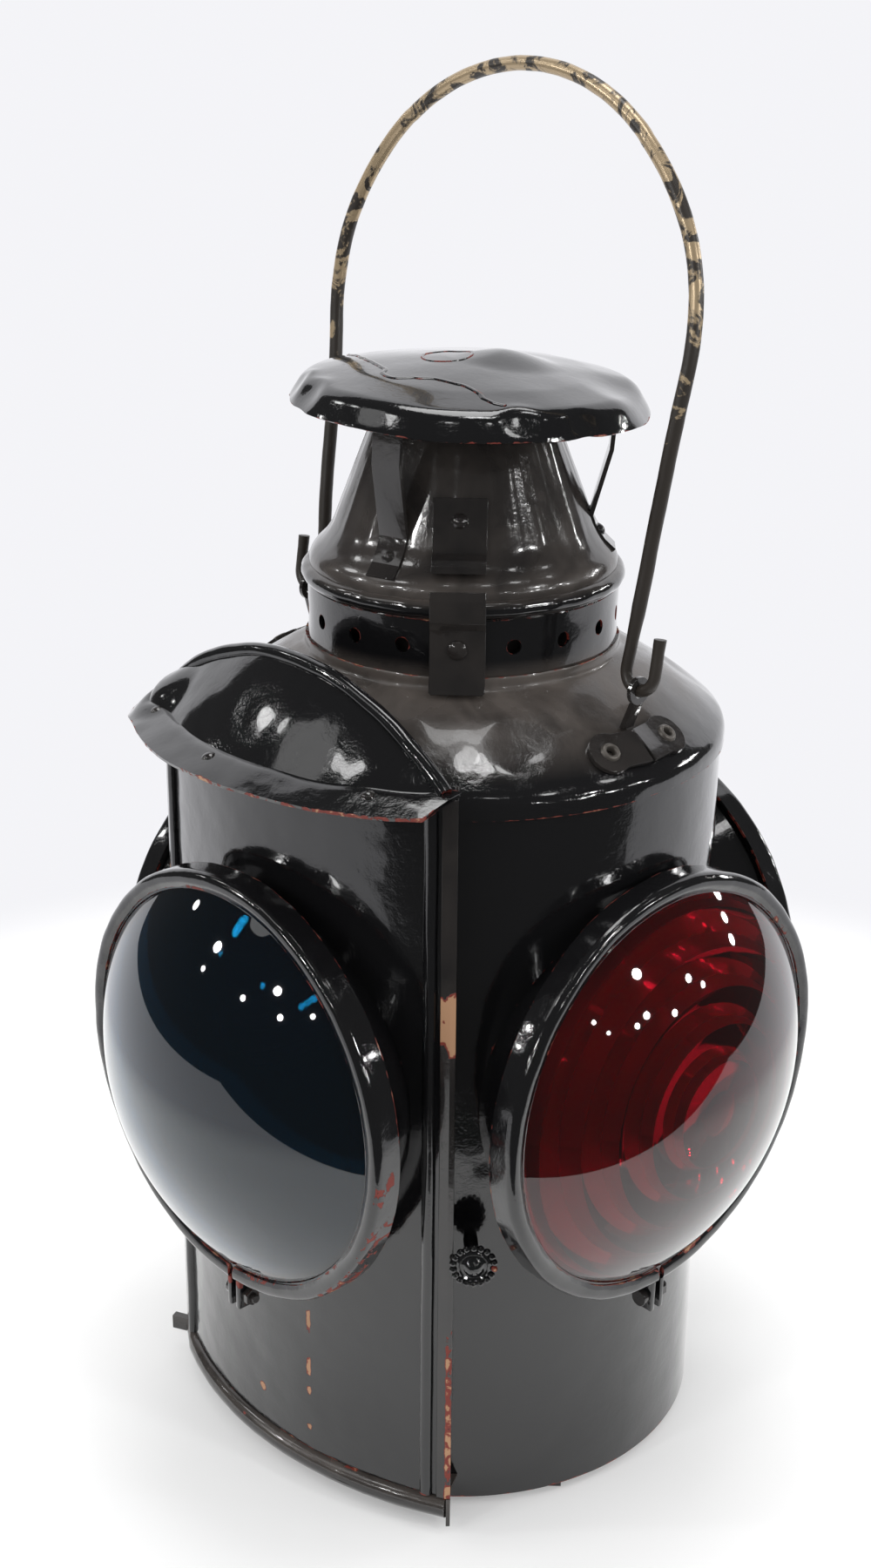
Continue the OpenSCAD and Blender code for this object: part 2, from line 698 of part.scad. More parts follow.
module latch_rivet() {
    color("#2b2b2d") rotate([0, 0, latch_az]) translate([0, 0, z_neck + vent_up]) rotate([0, 90, 0]) {
        translate([0, 0, collar_r - sheet - 0.6]) cylinder(r = vent_r - 0.05, h = sheet + 3, $fn = small_fn);
        translate([0, 0, collar_r - sheet - 1.2]) cylinder(r = vent_r + 1, h = 1, $fn = small_fn);
        translate([0, 0, collar_r + 2.2]) round_head(vent_r + 1.3, 1.3);
    }
}

// The bail in its own plane: X across, Z up from the pivot line. A leg is the common tangent of the
// arch and of its hook, so the wire runs on without a corner. A straight is a hair thicker than a bend
// and reaches a little way over it, so that the two join into one wire.
module bail_flat() {
    joint_r = wire_r + 0.02;
    joint_in = 0.2;
    arch_z = bail_h - bail_half_w;
    drop = arch_z - hook_r;
    lean = atan2(drop, pivot_x) - acos((bail_half_w + hook_r) / norm([pivot_x, drop]));
    leg = (drop - (bail_half_w + hook_r) * sin(lean)) / cos(lean);
    translate([0, 0, arch_z]) rotate([90, lean, 0]) rotate_extrude(angle = 180 + 2 * lean)
        translate([bail_half_w, 0]) circle(r = wire_r, $fn = small_fn);
    for (m = [0, 1]) mirror([m, 0, 0]) {
        translate([bail_half_w * cos(lean), 0, arch_z - bail_half_w * sin(lean)]) rotate([0, 180 + lean, 0])
            translate([0, 0, -joint_in]) cylinder(r = joint_r, h = leg + 2 * joint_in, $fn = small_fn);
        translate([pivot_x, 0, hook_r]) rotate([-90, 0, 0]) rotate_extrude(angle = 180 + lean)
            translate([hook_r, 0]) circle(r = wire_r, $fn = small_fn);
        translate([pivot_x + hook_r, 0, hook_r - joint_in])
            cylinder(r = joint_r, h = hook_end + joint_in, $fn = small_fn);
    }
}

module bail() {
    color("#4d463a") translate([0, 0, z_pivot]) rotate([-bail_lean, 0, 0]) bail_flat();
}

module door_panel() {
    color("#1b1b1d") difference() {
        union() {
            translate([0, 0, door_z]) linear_extrude(height = door_h)
                door_sector(door_curve_r, door_curve_r - sheet, door_half_w);
            for (s = [-1, 1]) door_edge_bead(s);
            intersection() {
                brim_ring(brim_in - 20, brim_out - 4, -brim_t - seat, sheet);
                linear_extrude(height = 2 * z_hood) intersection() {
                    door_sector(far, door_curve_r - sheet, door_half_w + 4);
                    translate([-door_half_w + 3, -far]) square([2 * door_half_w - 6, far - hood_back - 3]);
                }
            }
        }
        on_lens(-90) collar_cone(lens_front + door_lens_out, -sheet);
        hood_rivet_places() translate([0, 0, -10]) cylinder(r = rivet_r + 0.1, h = 20, $fn = small_fn);
    }
}

module door_edge_bead(s) {
    edge_a = asin((door_half_w - 5.5) / door_curve_r);
    difference() {
        translate([s * sin(edge_a) * door_curve_r, door_cy - cos(edge_a) * door_curve_r, door_z])
            cylinder(r = edge_bead_r, h = door_h - 4, $fn = small_fn);
        translate([0, door_cy, 0]) cylinder(r = door_curve_r - sheet, h = far, $fn = 180);
    }
}

// A sheet that follows the brim: level under the dome, then sloping down; down is the offset of its top
module brim_ring(r0, r1, down, t) {
    knee = brim_in + 2;
    drop = brim_drop * (r1 - knee) / (brim_out - knee);
    translate([0, -brim_cy, z_hood + down]) rotate_extrude($fn = 180)
        polygon([[r0, 0], [knee, 0], [r1, -drop], [r1, -drop - t], [knee, -t], [r0, -t]]);
}

// Two rivets join the brim to the flange of the door; each stands square on the slope
module hood_rivet_places() {
    knee = brim_in + 2;
    at = brim_in + 4.5;
    down = brim_drop * (at - knee) / (brim_out - knee);
    for (az = [-59, -93.5, -121]) translate([0, -brim_cy, z_hood - down]) rotate([0, 0, az])
        translate([at, 0, 0]) rotate([0, atan2(brim_drop, brim_out - knee), 0]) children();
}

module hood_rivets() {
    color("#2b2b2d") hood_rivet_places() {
        translate([0, 0, 0.02]) round_head(2.4, 1.2);
        translate([0, 0, -brim_t - sheet - 0.6])
            cylinder(r = rivet_r, h = brim_t + sheet + 0.7, $fn = small_fn);
    }
}

module door_hood() {
    end_a = asin(hood_half_w / hood_arc_r);
    color("#1a1a1c") difference() {
        union() {
            difference() {
                translate([0, hood_c - hood_back, z_hood - hood_c]) difference() {
                    sphere(r = hood_ball_r, $fn = 180);
                    sphere(r = hood_ball_r - sheet, $fn = 180);
                }
                translate([-far, -hood_back, 0]) cube([2 * far, far, 2 * far]);
                translate([-far, -far, z_hood - far - brim_t]) cube([2 * far, 2 * far, far]);
            }
            translate([0, -hood_back, z_hood - hood_c]) rotate([90, 0, 0]) rotate([0, 0, 90 - end_a])
                rotate_extrude(angle = 2 * end_a, $fn = 180) translate([hood_arc_r - 0.6, 0])
                    circle(r = hood_wire_r, $fn = small_fn);
            intersection() {
                brim_ring(brim_in - 0.8, brim_out, 0, brim_t);
                translate([-brim_half_w, -far, 0]) cube([2 * brim_half_w, far - hood_back + 4, 2 * far]);
            }
        }
        hood_rivet_places() translate([0, 0, -10]) cylinder(r = rivet_r + 0.1, h = 20, $fn = small_fn);
    }
}

// One lens unit, drawn with the lamp's axis at the origin and its own axis along +Z
module lens_collar_shape(front) {
    difference() {
        union() {
            collar_cone(front, 0);
            translate([0, 0, front - 8.6]) cylinder(r = seat_r, h = 1);
        }
        collar_cone(front, -sheet);
        translate([0, 0, front - 9]) cylinder(r = cone_mouth_r - 3, h = 3);
    }
}

module lens_collar(az, front) {
    color("#1c1c1e") difference() {
        on_lens(az) lens_collar_shape(front);
        cylinder(r = body_r + 0.05, h = far);
    }
}

module lens_gasket(az, front) {
    color("#2c2622") on_lens(az) translate([0, 0, front - 7.6]) tube(glass_r, dome_r - 2, gasket_t);
}

module lens_glass(az, front, tint) {
    foot = front - 1.3;
    rise = glass_bulge + 1.3;
    ball = (dome_r * dome_r + rise * rise) / (2 * rise);
    steps = 6;
    step_w = (dome_r - 5) / steps;
    color(tint) on_lens(az) difference() {
        union() {
            translate([0, 0, foot - glass_t]) cylinder(r = glass_r, h = glass_t);
            intersection() {
                translate([0, 0, foot + rise - ball]) sphere(r = ball, $fn = 128);
                translate([0, 0, foot - 2]) cylinder(r = dome_r, h = rise + 10);
            }
        }
        for (i = [1 : steps]) translate([0, 0, foot - glass_t - 1])
            cylinder(r = i * step_w, h = max(1.5, 1 + glass_t + dome_x(i * step_w, ball, rise) - glass_wall));
    }
}

module lens_ring(az, front) {
    depth = ring_depth;
    gap = split_gap / 2;
    color("#232325") on_lens(az) difference() {
        union() {
            translate([0, 0, front - depth]) tube(ring_r, ring_r - sheet, depth);
            translate([0, 0, front - sheet]) tube(ring_r, ring_r - lip_w, sheet);
            translate([0, 0, front - depth]) tube(ring_r, ring_r - 2.4, depth - 8.75);
            for (s = [-1, 1]) translate([ring_r - 1.4, s > 0 ? gap : -gap - 2, front - depth + 1])
                cube([ear_drop + 1.4, 2, depth - 2.4]);
        }
        translate([ring_r - 20, -gap, front - depth - 1]) cube([40, 2 * gap, depth + 2]);
        clamp_bolt_line(front) translate([0, 0, -15]) cylinder(r = bolt_r + 0.1, h = 30, $fn = small_fn);
    }
}

// Line of the clamp bolt, in the lens frame: X is down, Z is outwards
module clamp_bolt_line(front) {
    translate([ring_r + ear_drop * 0.55, 0, front - ring_depth / 2 - 0.2]) rotate([90, 0, 0]) children();
}

module clamp_bolt(az, front) {
    reach = split_gap / 2 + 2;
    color("#3a3a3c") on_lens(az) clamp_bolt_line(front) {
        translate([0, 0, -reach - 4.5]) cylinder(r = bolt_r, h = 2 * reach + 4.6, $fn = small_fn);
        translate([0, 0, reach + 0.05]) cylinder(r = 3, h = 2.6, $fn = small_fn);
    }
}

module clamp_nut(az, front) {
    reach = split_gap / 2 + 2;
    color("#3a3a3c") on_lens(az) clamp_bolt_line(front) translate([0, 0, -reach - 2.85]) difference() {
        cylinder(r = 3.2, h = 2.8, $fn = 6);
        translate([0, 0, -1]) cylinder(r = bolt_r + 0.02, h = 6, $fn = small_fn);
    }
}

module clamp_bolts() {
    for (az = FIXED) clamp_bolt(az, lens_front);
}

module clamp_nuts() {
    for (az = FIXED) clamp_nut(az, lens_front);
}

module oil_font() {
    neck = 13;
    color("#9a8f76") translate([0, 0, z_font]) difference() {
        union() {
            cylinder(r = font_r, h = font_h - 6);
            translate([0, 0, font_h - 6]) cylinder(r1 = font_r, r2 = font_r - 16, h = 4);
            translate([0, 0, font_h - 6]) cylinder(r = neck, h = 6);
            translate([-filler_x, 0, font_h - 6]) cylinder(r = filler_r, h = 7);
        }
        translate([0, 0, 1.2]) cylinder(r = font_r - 1.2, h = font_h - 8.4);
        translate([0, 0, font_h - 12]) cylinder(r = neck - 3, h = 20);
        translate([-filler_x, 0, font_h - 12]) cylinder(r = filler_r - 1.8, h = 20);
    }
}

module filler_cap() {
    cap_r = filler_r + 2;
    color("#8e8468") translate([-filler_x, 0, z_font + font_h]) difference() {
        union() {
            translate([0, 0, -1.2]) cylinder(r = cap_r, h = 4.4);
            translate([0, 0, 3.2]) cylinder(r1 = cap_r, r2 = cap_r - 1.6, h = 1.2);
        }
        translate([0, 0, -2]) cylinder(r = filler_r + 0.05, h = 3.2);
        for (i = [0 : 15]) rotate([0, 0, i * 22.5]) translate([cap_r + 0.3, 0, -3])
            cylinder(r = 0.9, h = 9, $fn = 16);
    }
}

module burner() {
    slot_w = wick_w + 1;
    slot_t = wick_t + 0.8;
    color("#a08850") difference() {
        union() {
            translate([0, 0, z_burner]) cylinder(r = 14.5, h = 4);
            translate([0, 0, z_burner + 4]) cylinder(r = 11, h = burner_h - 8);
            translate([0, 0, z_burner + 8]) tube(19, 10.5, 1);
            translate([0, 0, z_burner + 8]) tube(19, 18, 4);
            translate([spur_x, -8, wick_shaft_z]) rotate([90, 0, 0]) cylinder(r = 2.8, h = 6, $fn = small_fn);
        }
        translate([-slot_t / 2, -slot_w / 2, z_burner - 5]) cube([slot_t, slot_w, burner_h + 20]);
        for (i = [0 : 17]) rotate([0, 0, 10 + i * 20]) translate([14.6, 0, z_burner + 5])
            cylinder(r = 1.4, h = 6, $fn = 16);
        translate([spur_x, 9, wick_shaft_z]) rotate([90, 0, 0])
            cylinder(r = shaft_r + shaft_gap, h = 40, $fn = small_fn);
        translate([spur_x, spur_half + 0.3, wick_shaft_z]) rotate([90, 0, 0])
            cylinder(r = spur_r + 0.4, h = 2 * spur_half + 0.6, $fn = small_fn);
        translate([0, -spur_half - 0.3, wick_shaft_z - spur_r - 0.4])
            cube([spur_x, 2 * spur_half + 0.6, 2 * spur_r + 0.8]);
    }
}

module burner_cone() {
    slot_w = wick_w + 1.6;
    z0 = z_burner + 12.1;
    wall_h = burner_h - 16;
    color("#a08850") difference() {
        union() {
            translate([0, 0, z0]) tube(cone_shell_r, cone_shell_r - sheet, wall_h);
            translate([0, 0, z0 + wall_h]) cylinder(r1 = cone_shell_r, r2 = cone_slot_r, h = 8);
        }
        translate([0, 0, z0 + wall_h - sheet]) cylinder(r1 = cone_shell_r, r2 = cone_slot_r, h = 8);
        translate([-wick_t - 1.2, -slot_w / 2, z0]) cube([2 * wick_t + 2.4, slot_w, burner_h]);
        translate([spur_x, 0, wick_shaft_z]) rotate([90, 0, 0])
            cylinder(r = shaft_r + 1, h = shaft_reach, $fn = small_fn);
    }
}

module wick_shaft() {
    color("#7d6c45") translate([spur_x, 0, wick_shaft_z]) rotate([90, 0, 0]) {
        translate([0, 0, -8.5]) cylinder(r = shaft_r, h = shaft_reach + 9, $fn = small_fn);
        for (z = [-spur_half, spur_half - 1.2]) translate([0, 0, z]) difference() {
            cylinder(r = spur_r, h = 1.2, $fn = small_fn);
            for (i = [0 : 11]) rotate([0, 0, i * 30]) translate([spur_r + 0.2, 0, -1])
                cylinder(r = 0.5, h = 4, $fn = 16);
        }
        translate([0, 0, shaft_reach]) difference() {
            cylinder(r = wheel_r, h = wheel_t);
            for (i = [0 : 19]) rotate([0, 0, i * 18]) translate([wheel_r + 0.4, 0, -1])
                cylinder(r = 0.8, h = wheel_t + 3, $fn = 16);
        }
    }
}

module wick() {
    color("#d8d2c2") translate([-wick_t / 2, -wick_w / 2, z_font + 6])
        cube([wick_t, wick_w, font_h + burner_h - 2]);
}

module lock_knob() {
    beads = 20;
    color("#242426") rotate([0, 0, knob_az]) translate([0, 0, knob_z]) rotate([0, 90, 0]) {
        translate([0, 0, body_r - sheet - 2])
            cylinder(r = 2.5, h = knob_face_r - body_r + sheet + 2.2, $fn = small_fn);
        translate([0, 0, body_r - sheet - 2.8]) cylinder(r = 4, h = 2.5, $fn = small_fn);
        translate([0, 0, knob_face_r]) cylinder(r = knob_r - 1, h = 2);
        translate([0, 0, knob_face_r + 2]) tube(knob_r - 1, knob_r - 2.6, 0.8);
        translate([0, 0, knob_face_r + 2]) round_head(3.2, 1.6);
        for (i = [0 : beads - 1]) rotate([0, 0, i * 360 / beads])
            translate([knob_r - 1.1, 0, knob_face_r + 1.3]) sphere(r = 1.1, $fn = 16);
    }
}

module door_lens_collar() {
    front = lens_front + door_lens_out;
    color("#1c1c1e") difference() {
        on_lens(-90) lens_collar_shape(front);
        translate([0, door_cy, 0]) cylinder(r = door_curve_r + 0.05, h = far, $fn = 180);
    }
}

module lens_collar_right() lens_collar(0, lens_front);
module lens_collar_back() lens_collar(90, lens_front);
module lens_collar_left() lens_collar(180, lens_front);
module lens_gasket_right() lens_gasket(0, lens_front);
module lens_gasket_back() lens_gasket(90, lens_front);
module lens_gasket_left() lens_gasket(180, lens_front);
module door_lens_gasket() lens_gasket(-90, lens_front + door_lens_out);
module lens_right() lens_glass(0, lens_front, "#a00f1e");
module lens_back() lens_glass(90, lens_front, "#16324f");
module lens_left() lens_glass(180, lens_front, "#a00f1e");
module door_lens() lens_glass(-90, lens_front + door_lens_out, "#16324f");
module lens_ring_right() lens_ring(0, lens_front);
module lens_ring_back() lens_ring(90, lens_front);
module lens_ring_left() lens_ring(180, lens_front);
module door_lens_ring() lens_ring(-90, lens_front + door_lens_out);
module door_clamp_bolt() clamp_bolt(-90, lens_front + door_lens_out);
module door_clamp_nut() clamp_nut(-90, lens_front + door_lens_out);

body_shell();
bottom_pan();
base_bars();
base_rivets();
spindle_socket();
font_stand();
font_clips();
door_sill();
door_guide_right();
door_guide_left();
shoulder();
vent_collar();
wind_baffle();
ear_right();
ear_left();
ear_rivets();
chimney_hinge_leaf();
chimney_hinge_pin();
latch_rivet();
lens_collar_right();
lens_collar_back();
lens_collar_left();
lens_gasket_right();
lens_gasket_back();
lens_gasket_left();
lens_right();
lens_back();
lens_left();
lens_ring_right();
lens_ring_back();
lens_ring_left();
clamp_bolts();
clamp_nuts();
oil_font();
burner();
burner_cone();
chimney_cone();
chimney_ring();
hat_straps();
strap_rivets();
hat();
chimney_hinge_strap();
hasp_plate();
bail();
door_panel();
door_hood();
hood_rivets();
door_lens_collar();
door_lens_gasket();
door_lens();
door_lens_ring();
door_clamp_bolt();
door_clamp_nut();
latch_strip();
lock_knob();
wick_shaft();
wick();
filler_cap();
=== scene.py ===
# %% [markdown]
# # A signal lantern, dressed
# The lantern arrives as a imported model of its real pieces. This lesson gives each piece its finish and
# models again, with bmesh operators, what a plain solid can't show: dents, rolled edges, pressed glass
# and worn paint. Nothing is moved, so each new piece takes its place from the frame.

import json
import math

import bmesh
import bpy
from mathutils import Matrix, Vector, kdtree, noise


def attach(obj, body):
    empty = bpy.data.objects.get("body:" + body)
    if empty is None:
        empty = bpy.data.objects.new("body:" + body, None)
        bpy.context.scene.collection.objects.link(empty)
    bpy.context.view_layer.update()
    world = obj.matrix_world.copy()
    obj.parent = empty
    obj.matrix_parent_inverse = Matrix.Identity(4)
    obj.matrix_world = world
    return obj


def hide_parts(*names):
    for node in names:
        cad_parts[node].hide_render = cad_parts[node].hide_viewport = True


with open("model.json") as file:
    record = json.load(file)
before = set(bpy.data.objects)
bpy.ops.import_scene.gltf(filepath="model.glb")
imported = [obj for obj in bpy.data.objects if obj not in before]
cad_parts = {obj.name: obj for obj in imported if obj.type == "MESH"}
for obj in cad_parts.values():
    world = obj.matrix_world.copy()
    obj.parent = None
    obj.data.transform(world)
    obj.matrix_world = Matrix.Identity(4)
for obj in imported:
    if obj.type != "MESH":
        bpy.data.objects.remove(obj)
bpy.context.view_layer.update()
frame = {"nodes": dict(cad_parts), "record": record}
MM = 0.001

# %% [markdown]
# ## The camera
# The picture was taken from above one corner, between the door and the right lens. Its place was worked
# out from the round rims, which show as ellipses, so the camera is set by that place and three angles.
# A lens of 50 mm on a 36 mm sensor gives the picture's own perspective.

# %% Camera
PICTURE_H = 1801
FOCAL_PX = 2529.8
SENSOR_MM = 36.0
EYE = Vector((0.519304, -0.508540, 0.520739))
PITCH = math.radians(21.130)
ROLL = math.radians(0.463)
YAW = math.radians(-0.696)
CORNER = math.radians(45.6)


def camera_axes():
    """Right, up and forward of the camera, from its pitch, yaw, roll and the corner it looks at."""
    ahead = Vector((math.sin(YAW) * math.cos(PITCH), math.cos(YAW) * math.cos(PITCH), -math.sin(PITCH)))
    right = ahead.cross(Vector((0, 0, 1))).normalized()
    up = right.cross(ahead)
    rolled_right = right * math.cos(ROLL) + up * math.sin(ROLL)
    rolled_up = up * math.cos(ROLL) - right * math.sin(ROLL)
    turn = Matrix.Rotation(CORNER, 3, "Z")
    return turn @ rolled_right, turn @ rolled_up, turn @ ahead


def make_camera():
    right, up, ahead = camera_axes()
    lens = bpy.data.cameras.new("camera")
    lens.sensor_width = SENSOR_MM
    lens.lens = FOCAL_PX * SENSOR_MM / PICTURE_H
    lens.clip_start = 0.02
    lens.clip_end = 60.0
    camera = bpy.data.objects.new("camera", lens)
    turned = Matrix((right, up, -ahead)).transposed().to_4x4()
    camera.matrix_world = Matrix.Translation(EYE) @ turned
    bpy.context.scene.collection.objects.link(camera)
    bpy.context.scene.camera = camera
    return camera


camera = make_camera()
print("camera lens", round(camera.data.lens, 2), "mm")

# %% [markdown]
# ## A small language for materials
# A finish is a sum of layers: paint, chips, dust. Written with nodes alone that is hard to read, so one
# class wraps a socket and lets masks be added and multiplied like numbers. Any other node comes from
# one method, which sets the node's own settings first and then its sockets.

# %% Shader sums
class Wire:
    """One output socket of a finish. Arithmetic on wires adds Math nodes to the same tree."""

    def __init__(self, finish, socket):
        self.finish = finish
        self.socket = socket

    def sum(self, operation, first, second, clamp=False):
        settings = {"operation": operation, "use_clamp": clamp}
        return self.finish.node("ShaderNodeMath", settings, {0: first, 1: second})

    def __add__(self, other):
        return self.sum("ADD", self, other)

    def __sub__(self, other):
        return self.sum("SUBTRACT", self, other)

    def __rsub__(self, other):
        return self.sum("SUBTRACT", other, self)

    def __mul__(self, other):
        return self.sum("MULTIPLY", self, other)

    def __pow__(self, other):
        return self.sum("POWER", self, other)

    def above(self, low, high):
        """0 below low, 1 above high, with a smooth step between."""
        settings = {"interpolation_type": "SMOOTHSTEP", "clamp": True}
        sockets = {"Value": self, "From Min": low, "From Max": high}
        return self.finish.node("ShaderNodeMapRange", settings, sockets)

    def capped(self):
        return self.sum("ADD", self, 0.0, clamp=True)


class Finish:
    """A material with one Principled shader, made of wires."""

    def __init__(self, name):
        self.material = bpy.data.materials.new(name)
        self.material.use_nodes = True
        self.tree = self.material.node_tree
        self.shader = self.tree.nodes["Principled BSDF"]
        self.place = self.node("ShaderNodeTexCoord", {}, {}, "Object")

    def node(self, kind, settings, sockets, output=0):
        made = self.tree.nodes.new(kind)
        for name, value in settings.items():
            setattr(made, name, value)
        for name, value in sockets.items():
            self.join(made.inputs[name], value)
        return Wire(self, made.outputs[output])

    def join(self, socket, value):
        if isinstance(value, Wire):
            self.tree.links.new(value.socket, socket)
        else:
            socket.default_value = value

    def set(self, **sockets):
        """Sets or links sockets of the Principled shader; Base_Color stands for Base Color."""
        for name, value in sockets.items():
            self.join(self.shader.inputs[name.replace("_", " ")], value)

    def noise(self, scale, detail=2.0, rough=0.5, warp=0.0):
        sockets = {"Vector": self.place, "Scale": scale, "Detail": detail}
        sockets.update({"Roughness": rough, "Distortion": warp})
        return self.node("ShaderNodeTexNoise", {}, sockets, "Fac")

    def mix(self, mask, below, above):
        settings = {"data_type": "RGBA"}
        return self.node("ShaderNodeMix", settings, {"Factor": mask, 6: below, 7: above}, 2)

    def bump(self, height, distance, strength):
        sockets = {"Height": height, "Distance": distance, "Strength": strength}
        return self.node("ShaderNodeBump", {}, sockets)

    def attribute(self, name):
        return self.node("ShaderNodeAttribute", {"attribute_name": name}, {}, "Fac")

    def axis(self, letter):
        return self.node("ShaderNodeSeparateXYZ", {}, {"Vector": self.place}, letter)


print("shader language ready")

# %% [markdown]
# ## The table, the backdrop and the room
# Black enamel has hardly a colour of its own: it shows the room. The reflections in the two domes give the
# room away: a white table that ends a hand's length in front of the lantern, a pale backdrop behind it,
# and a dark hall with rows of small bright lamps. So the table is cut to that size, and mirrors see a
# dark room beyond it, while the eye sees plain pale paper everywhere.

# %% Table and backdrop
PAPER = (0.88, 0.88, 0.88, 1.0)
TABLE_WHITE = (1.0, 1.0, 1.0, 1.0)
WALL_WHITE = (0.905, 0.905, 0.935, 1.0)
TABLE_GLOW = 0.22
TABLE_FADE = (0.34, 0.5)
TABLE_FRONT = ((-1.0, -0.55, 0.0), (1.0, -0.11, 0.0))
TABLE_FAR, WALL_RISE, WALL_BEND, WALL_SPREAD = 1.5, 2.6, 0.4, 2.2


def seen_ray(finish):
    """1 for rays that show a surface directly, in a mirror or through glass."""
    path = finish.node("ShaderNodeLightPath", {}, {}, "Is Camera Ray")
    glossy = Wire(finish, path.socket.node.outputs["Is Glossy Ray"])
    through = Wire(finish, path.socket.node.outputs["Is Transmission Ray"])
    return (path + glossy + through).capped()


def radius_of(finish):
    """Distance from the lamp's upright axis, in metres."""
    east, north = finish.axis("X"), finish.axis("Y")
    return (east * east + north * north) ** 0.5


def paper():
    """White paper that keeps the shadow: part of what is seen glows, the rest is plain diffuse."""
    finish = Finish("paper")
    finish.set(Base_Color=PAPER, Roughness=1.0, Specular_IOR_Level=0.0)
    away = radius_of(finish).above(*TABLE_FADE)
    tone = finish.mix(away, TABLE_WHITE, WALL_WHITE)
    light = finish.node("ShaderNodeEmission", {}, {"Color": tone, "Strength": 1.0})
    diffuse = Wire(finish, finish.shader.outputs[0])
    glow = seen_ray(finish) * (away * (1 - TABLE_GLOW) + TABLE_GLOW)
    both = finish.node("ShaderNodeMixShader", {}, {0: glow, 1: diffuse, 2: light})
    end = finish.tree.nodes["Material Output"]
    finish.tree.links.new(both.socket, end.inputs["Surface"])
    return finish.material


def points_in(parts):
    return [part for part in parts if isinstance(part, bmesh.types.BMVert)]


def edges_in(parts):
    return [part for part in parts if isinstance(part, bmesh.types.BMEdge)]


def make_table():
    """A table top that turns up into a wall behind the lantern, as one sheet of paper."""
    shape = bmesh.new()
    line = shape.edges.new([shape.verts.new(corner) for corner in TABLE_FRONT])
    step = bmesh.ops.extrude_edge_only(shape, edges=[line])["geom"]
    back = points_in(step)
    for dot in back:
        dot.co.y = TABLE_FAR
        dot.co.x *= WALL_SPREAD
    last = [edge for edge in edges_in(step) if set(edge.verts) == set(back)]
    middle = (0, TABLE_FAR, WALL_BEND)
    turned = bmesh.ops.spin(
        shape, geom=last + back, cent=middle, axis=(1, 0, 0), angle=math.pi / 2, steps=12
    )
    up = bmesh.ops.extrude_edge_only(shape, edges=edges_in(turned["geom_last"]))["geom"]
    bmesh.ops.translate(shape, verts=points_in(up), vec=(0, 0, WALL_RISE))
    bmesh.ops.rotate(shape, verts=shape.verts, cent=(0, 0, 0), matrix=Matrix.Rotation(CORNER, 3, "Z"))
    mesh = bpy.data.meshes.new("table")
    shape.to_mesh(mesh)
    shape.free()
    mesh.polygons.foreach_set("use_smooth", [True] * len(mesh.polygons))
    table = bpy.data.objects.new("table", mesh)
    bpy.context.scene.collection.objects.link(table)
    mesh.materials.append(paper())
    return table


table = make_table()
print("table", len(table.data.polygons), "faces")

# %% [markdown]
# ## Lamps
# Each glint in a dome is a mirror image, so it tells the direction of a lamp. The small disks stand in
# those directions, three metres away. One wide lamp high behind the lantern throws its shadow forwards, to
# where it lies on the real table. A lamp is written as azimuth, height, size and brightness.

# %% Room light
ROOM_GREY = (0.8, 0.8, 0.8, 1.0)
ROOM_GLOSS = 0.09
ROOM_FILL = 1.0
AIM = Vector((0, 0, 0.2))
LAMP_AWAY = 3.0
SMALL = 0.15
LAMPS = [
    (-129, 25, SMALL * 1.2, 110.0), (-129, 17, SMALL * 0.6, 70.0), (-106, 19, SMALL * 0.7, 80.0),
    (-93, 27, SMALL * 1.1, 110.0), (-88, 19, SMALL * 0.8, 70.0), (-75, 23, SMALL * 0.7, 60.0),
    (-153, 22, SMALL, 20.0), (13, 30, SMALL * 1.3, 110.0), (34, 18, SMALL * 0.9, 80.0),
    (39, 13, SMALL * 0.7, 70.0), (10, 16, SMALL * 0.9, 90.0), (5, 14, SMALL * 0.7, 80.0),
    (22, 12, SMALL * 0.8, 80.0), (-12, 20, SMALL * 0.6, 60.0), (-7, 15, SMALL * 0.5, 50.0),
    (74, 18, SMALL * 1.2, 60.0), (68, 15, SMALL, 70.0), (64, 11, SMALL, 70.0),
    (-151, 37, 0.34, 9.0), (-139, 43, 0.24, 8.0), (-104, 50, 0.34, 9.0), (-120, 46, 0.9, 1.3),
    (-60, 57, 0.2, 8.0), (-22, 58, 0.26, 8.0), (12, 57, 0.26, 8.0), (46, 50, 0.24, 7.0),
    (-20, 84, 0.3, 11.0), (5, 81, 0.3, 11.0), (28, 76, 0.26, 9.0), (134, 78, 1.5, 5.2),
]


def make_world():
    """Pale to the eye, dark to mirrors and plain grey to everything else."""
    world = bpy.data.worlds.new("room")
    bpy.context.scene.world = world
    world.use_nodes = True
    tree = world.node_tree
    tree.nodes.clear()
    path = tree.nodes.new("ShaderNodeLightPath")

    def glow(colour, strength):
        light = tree.nodes.new("ShaderNodeBackground")
        light.inputs["Color"].default_value = colour
        light.inputs["Strength"].default_value = strength
        return light.outputs[0]

    def choose(ray, other, chosen):
        """The chosen light for rays of one kind, and the other for the rest."""
        mixed = tree.nodes.new("ShaderNodeMixShader")
        for socket, source in zip(mixed.inputs, (path.outputs[ray], other, chosen)):
            tree.links.new(source, socket)
        return mixed.outputs[0]

    room = choose("Is Glossy Ray", glow(ROOM_GREY, ROOM_FILL), glow(ROOM_GREY, ROOM_GLOSS))
    shown = choose("Is Camera Ray", room, glow(WALL_WHITE, 1.0))
    tree.links.new(shown, tree.nodes.new("ShaderNodeOutputWorld").inputs["Surface"])


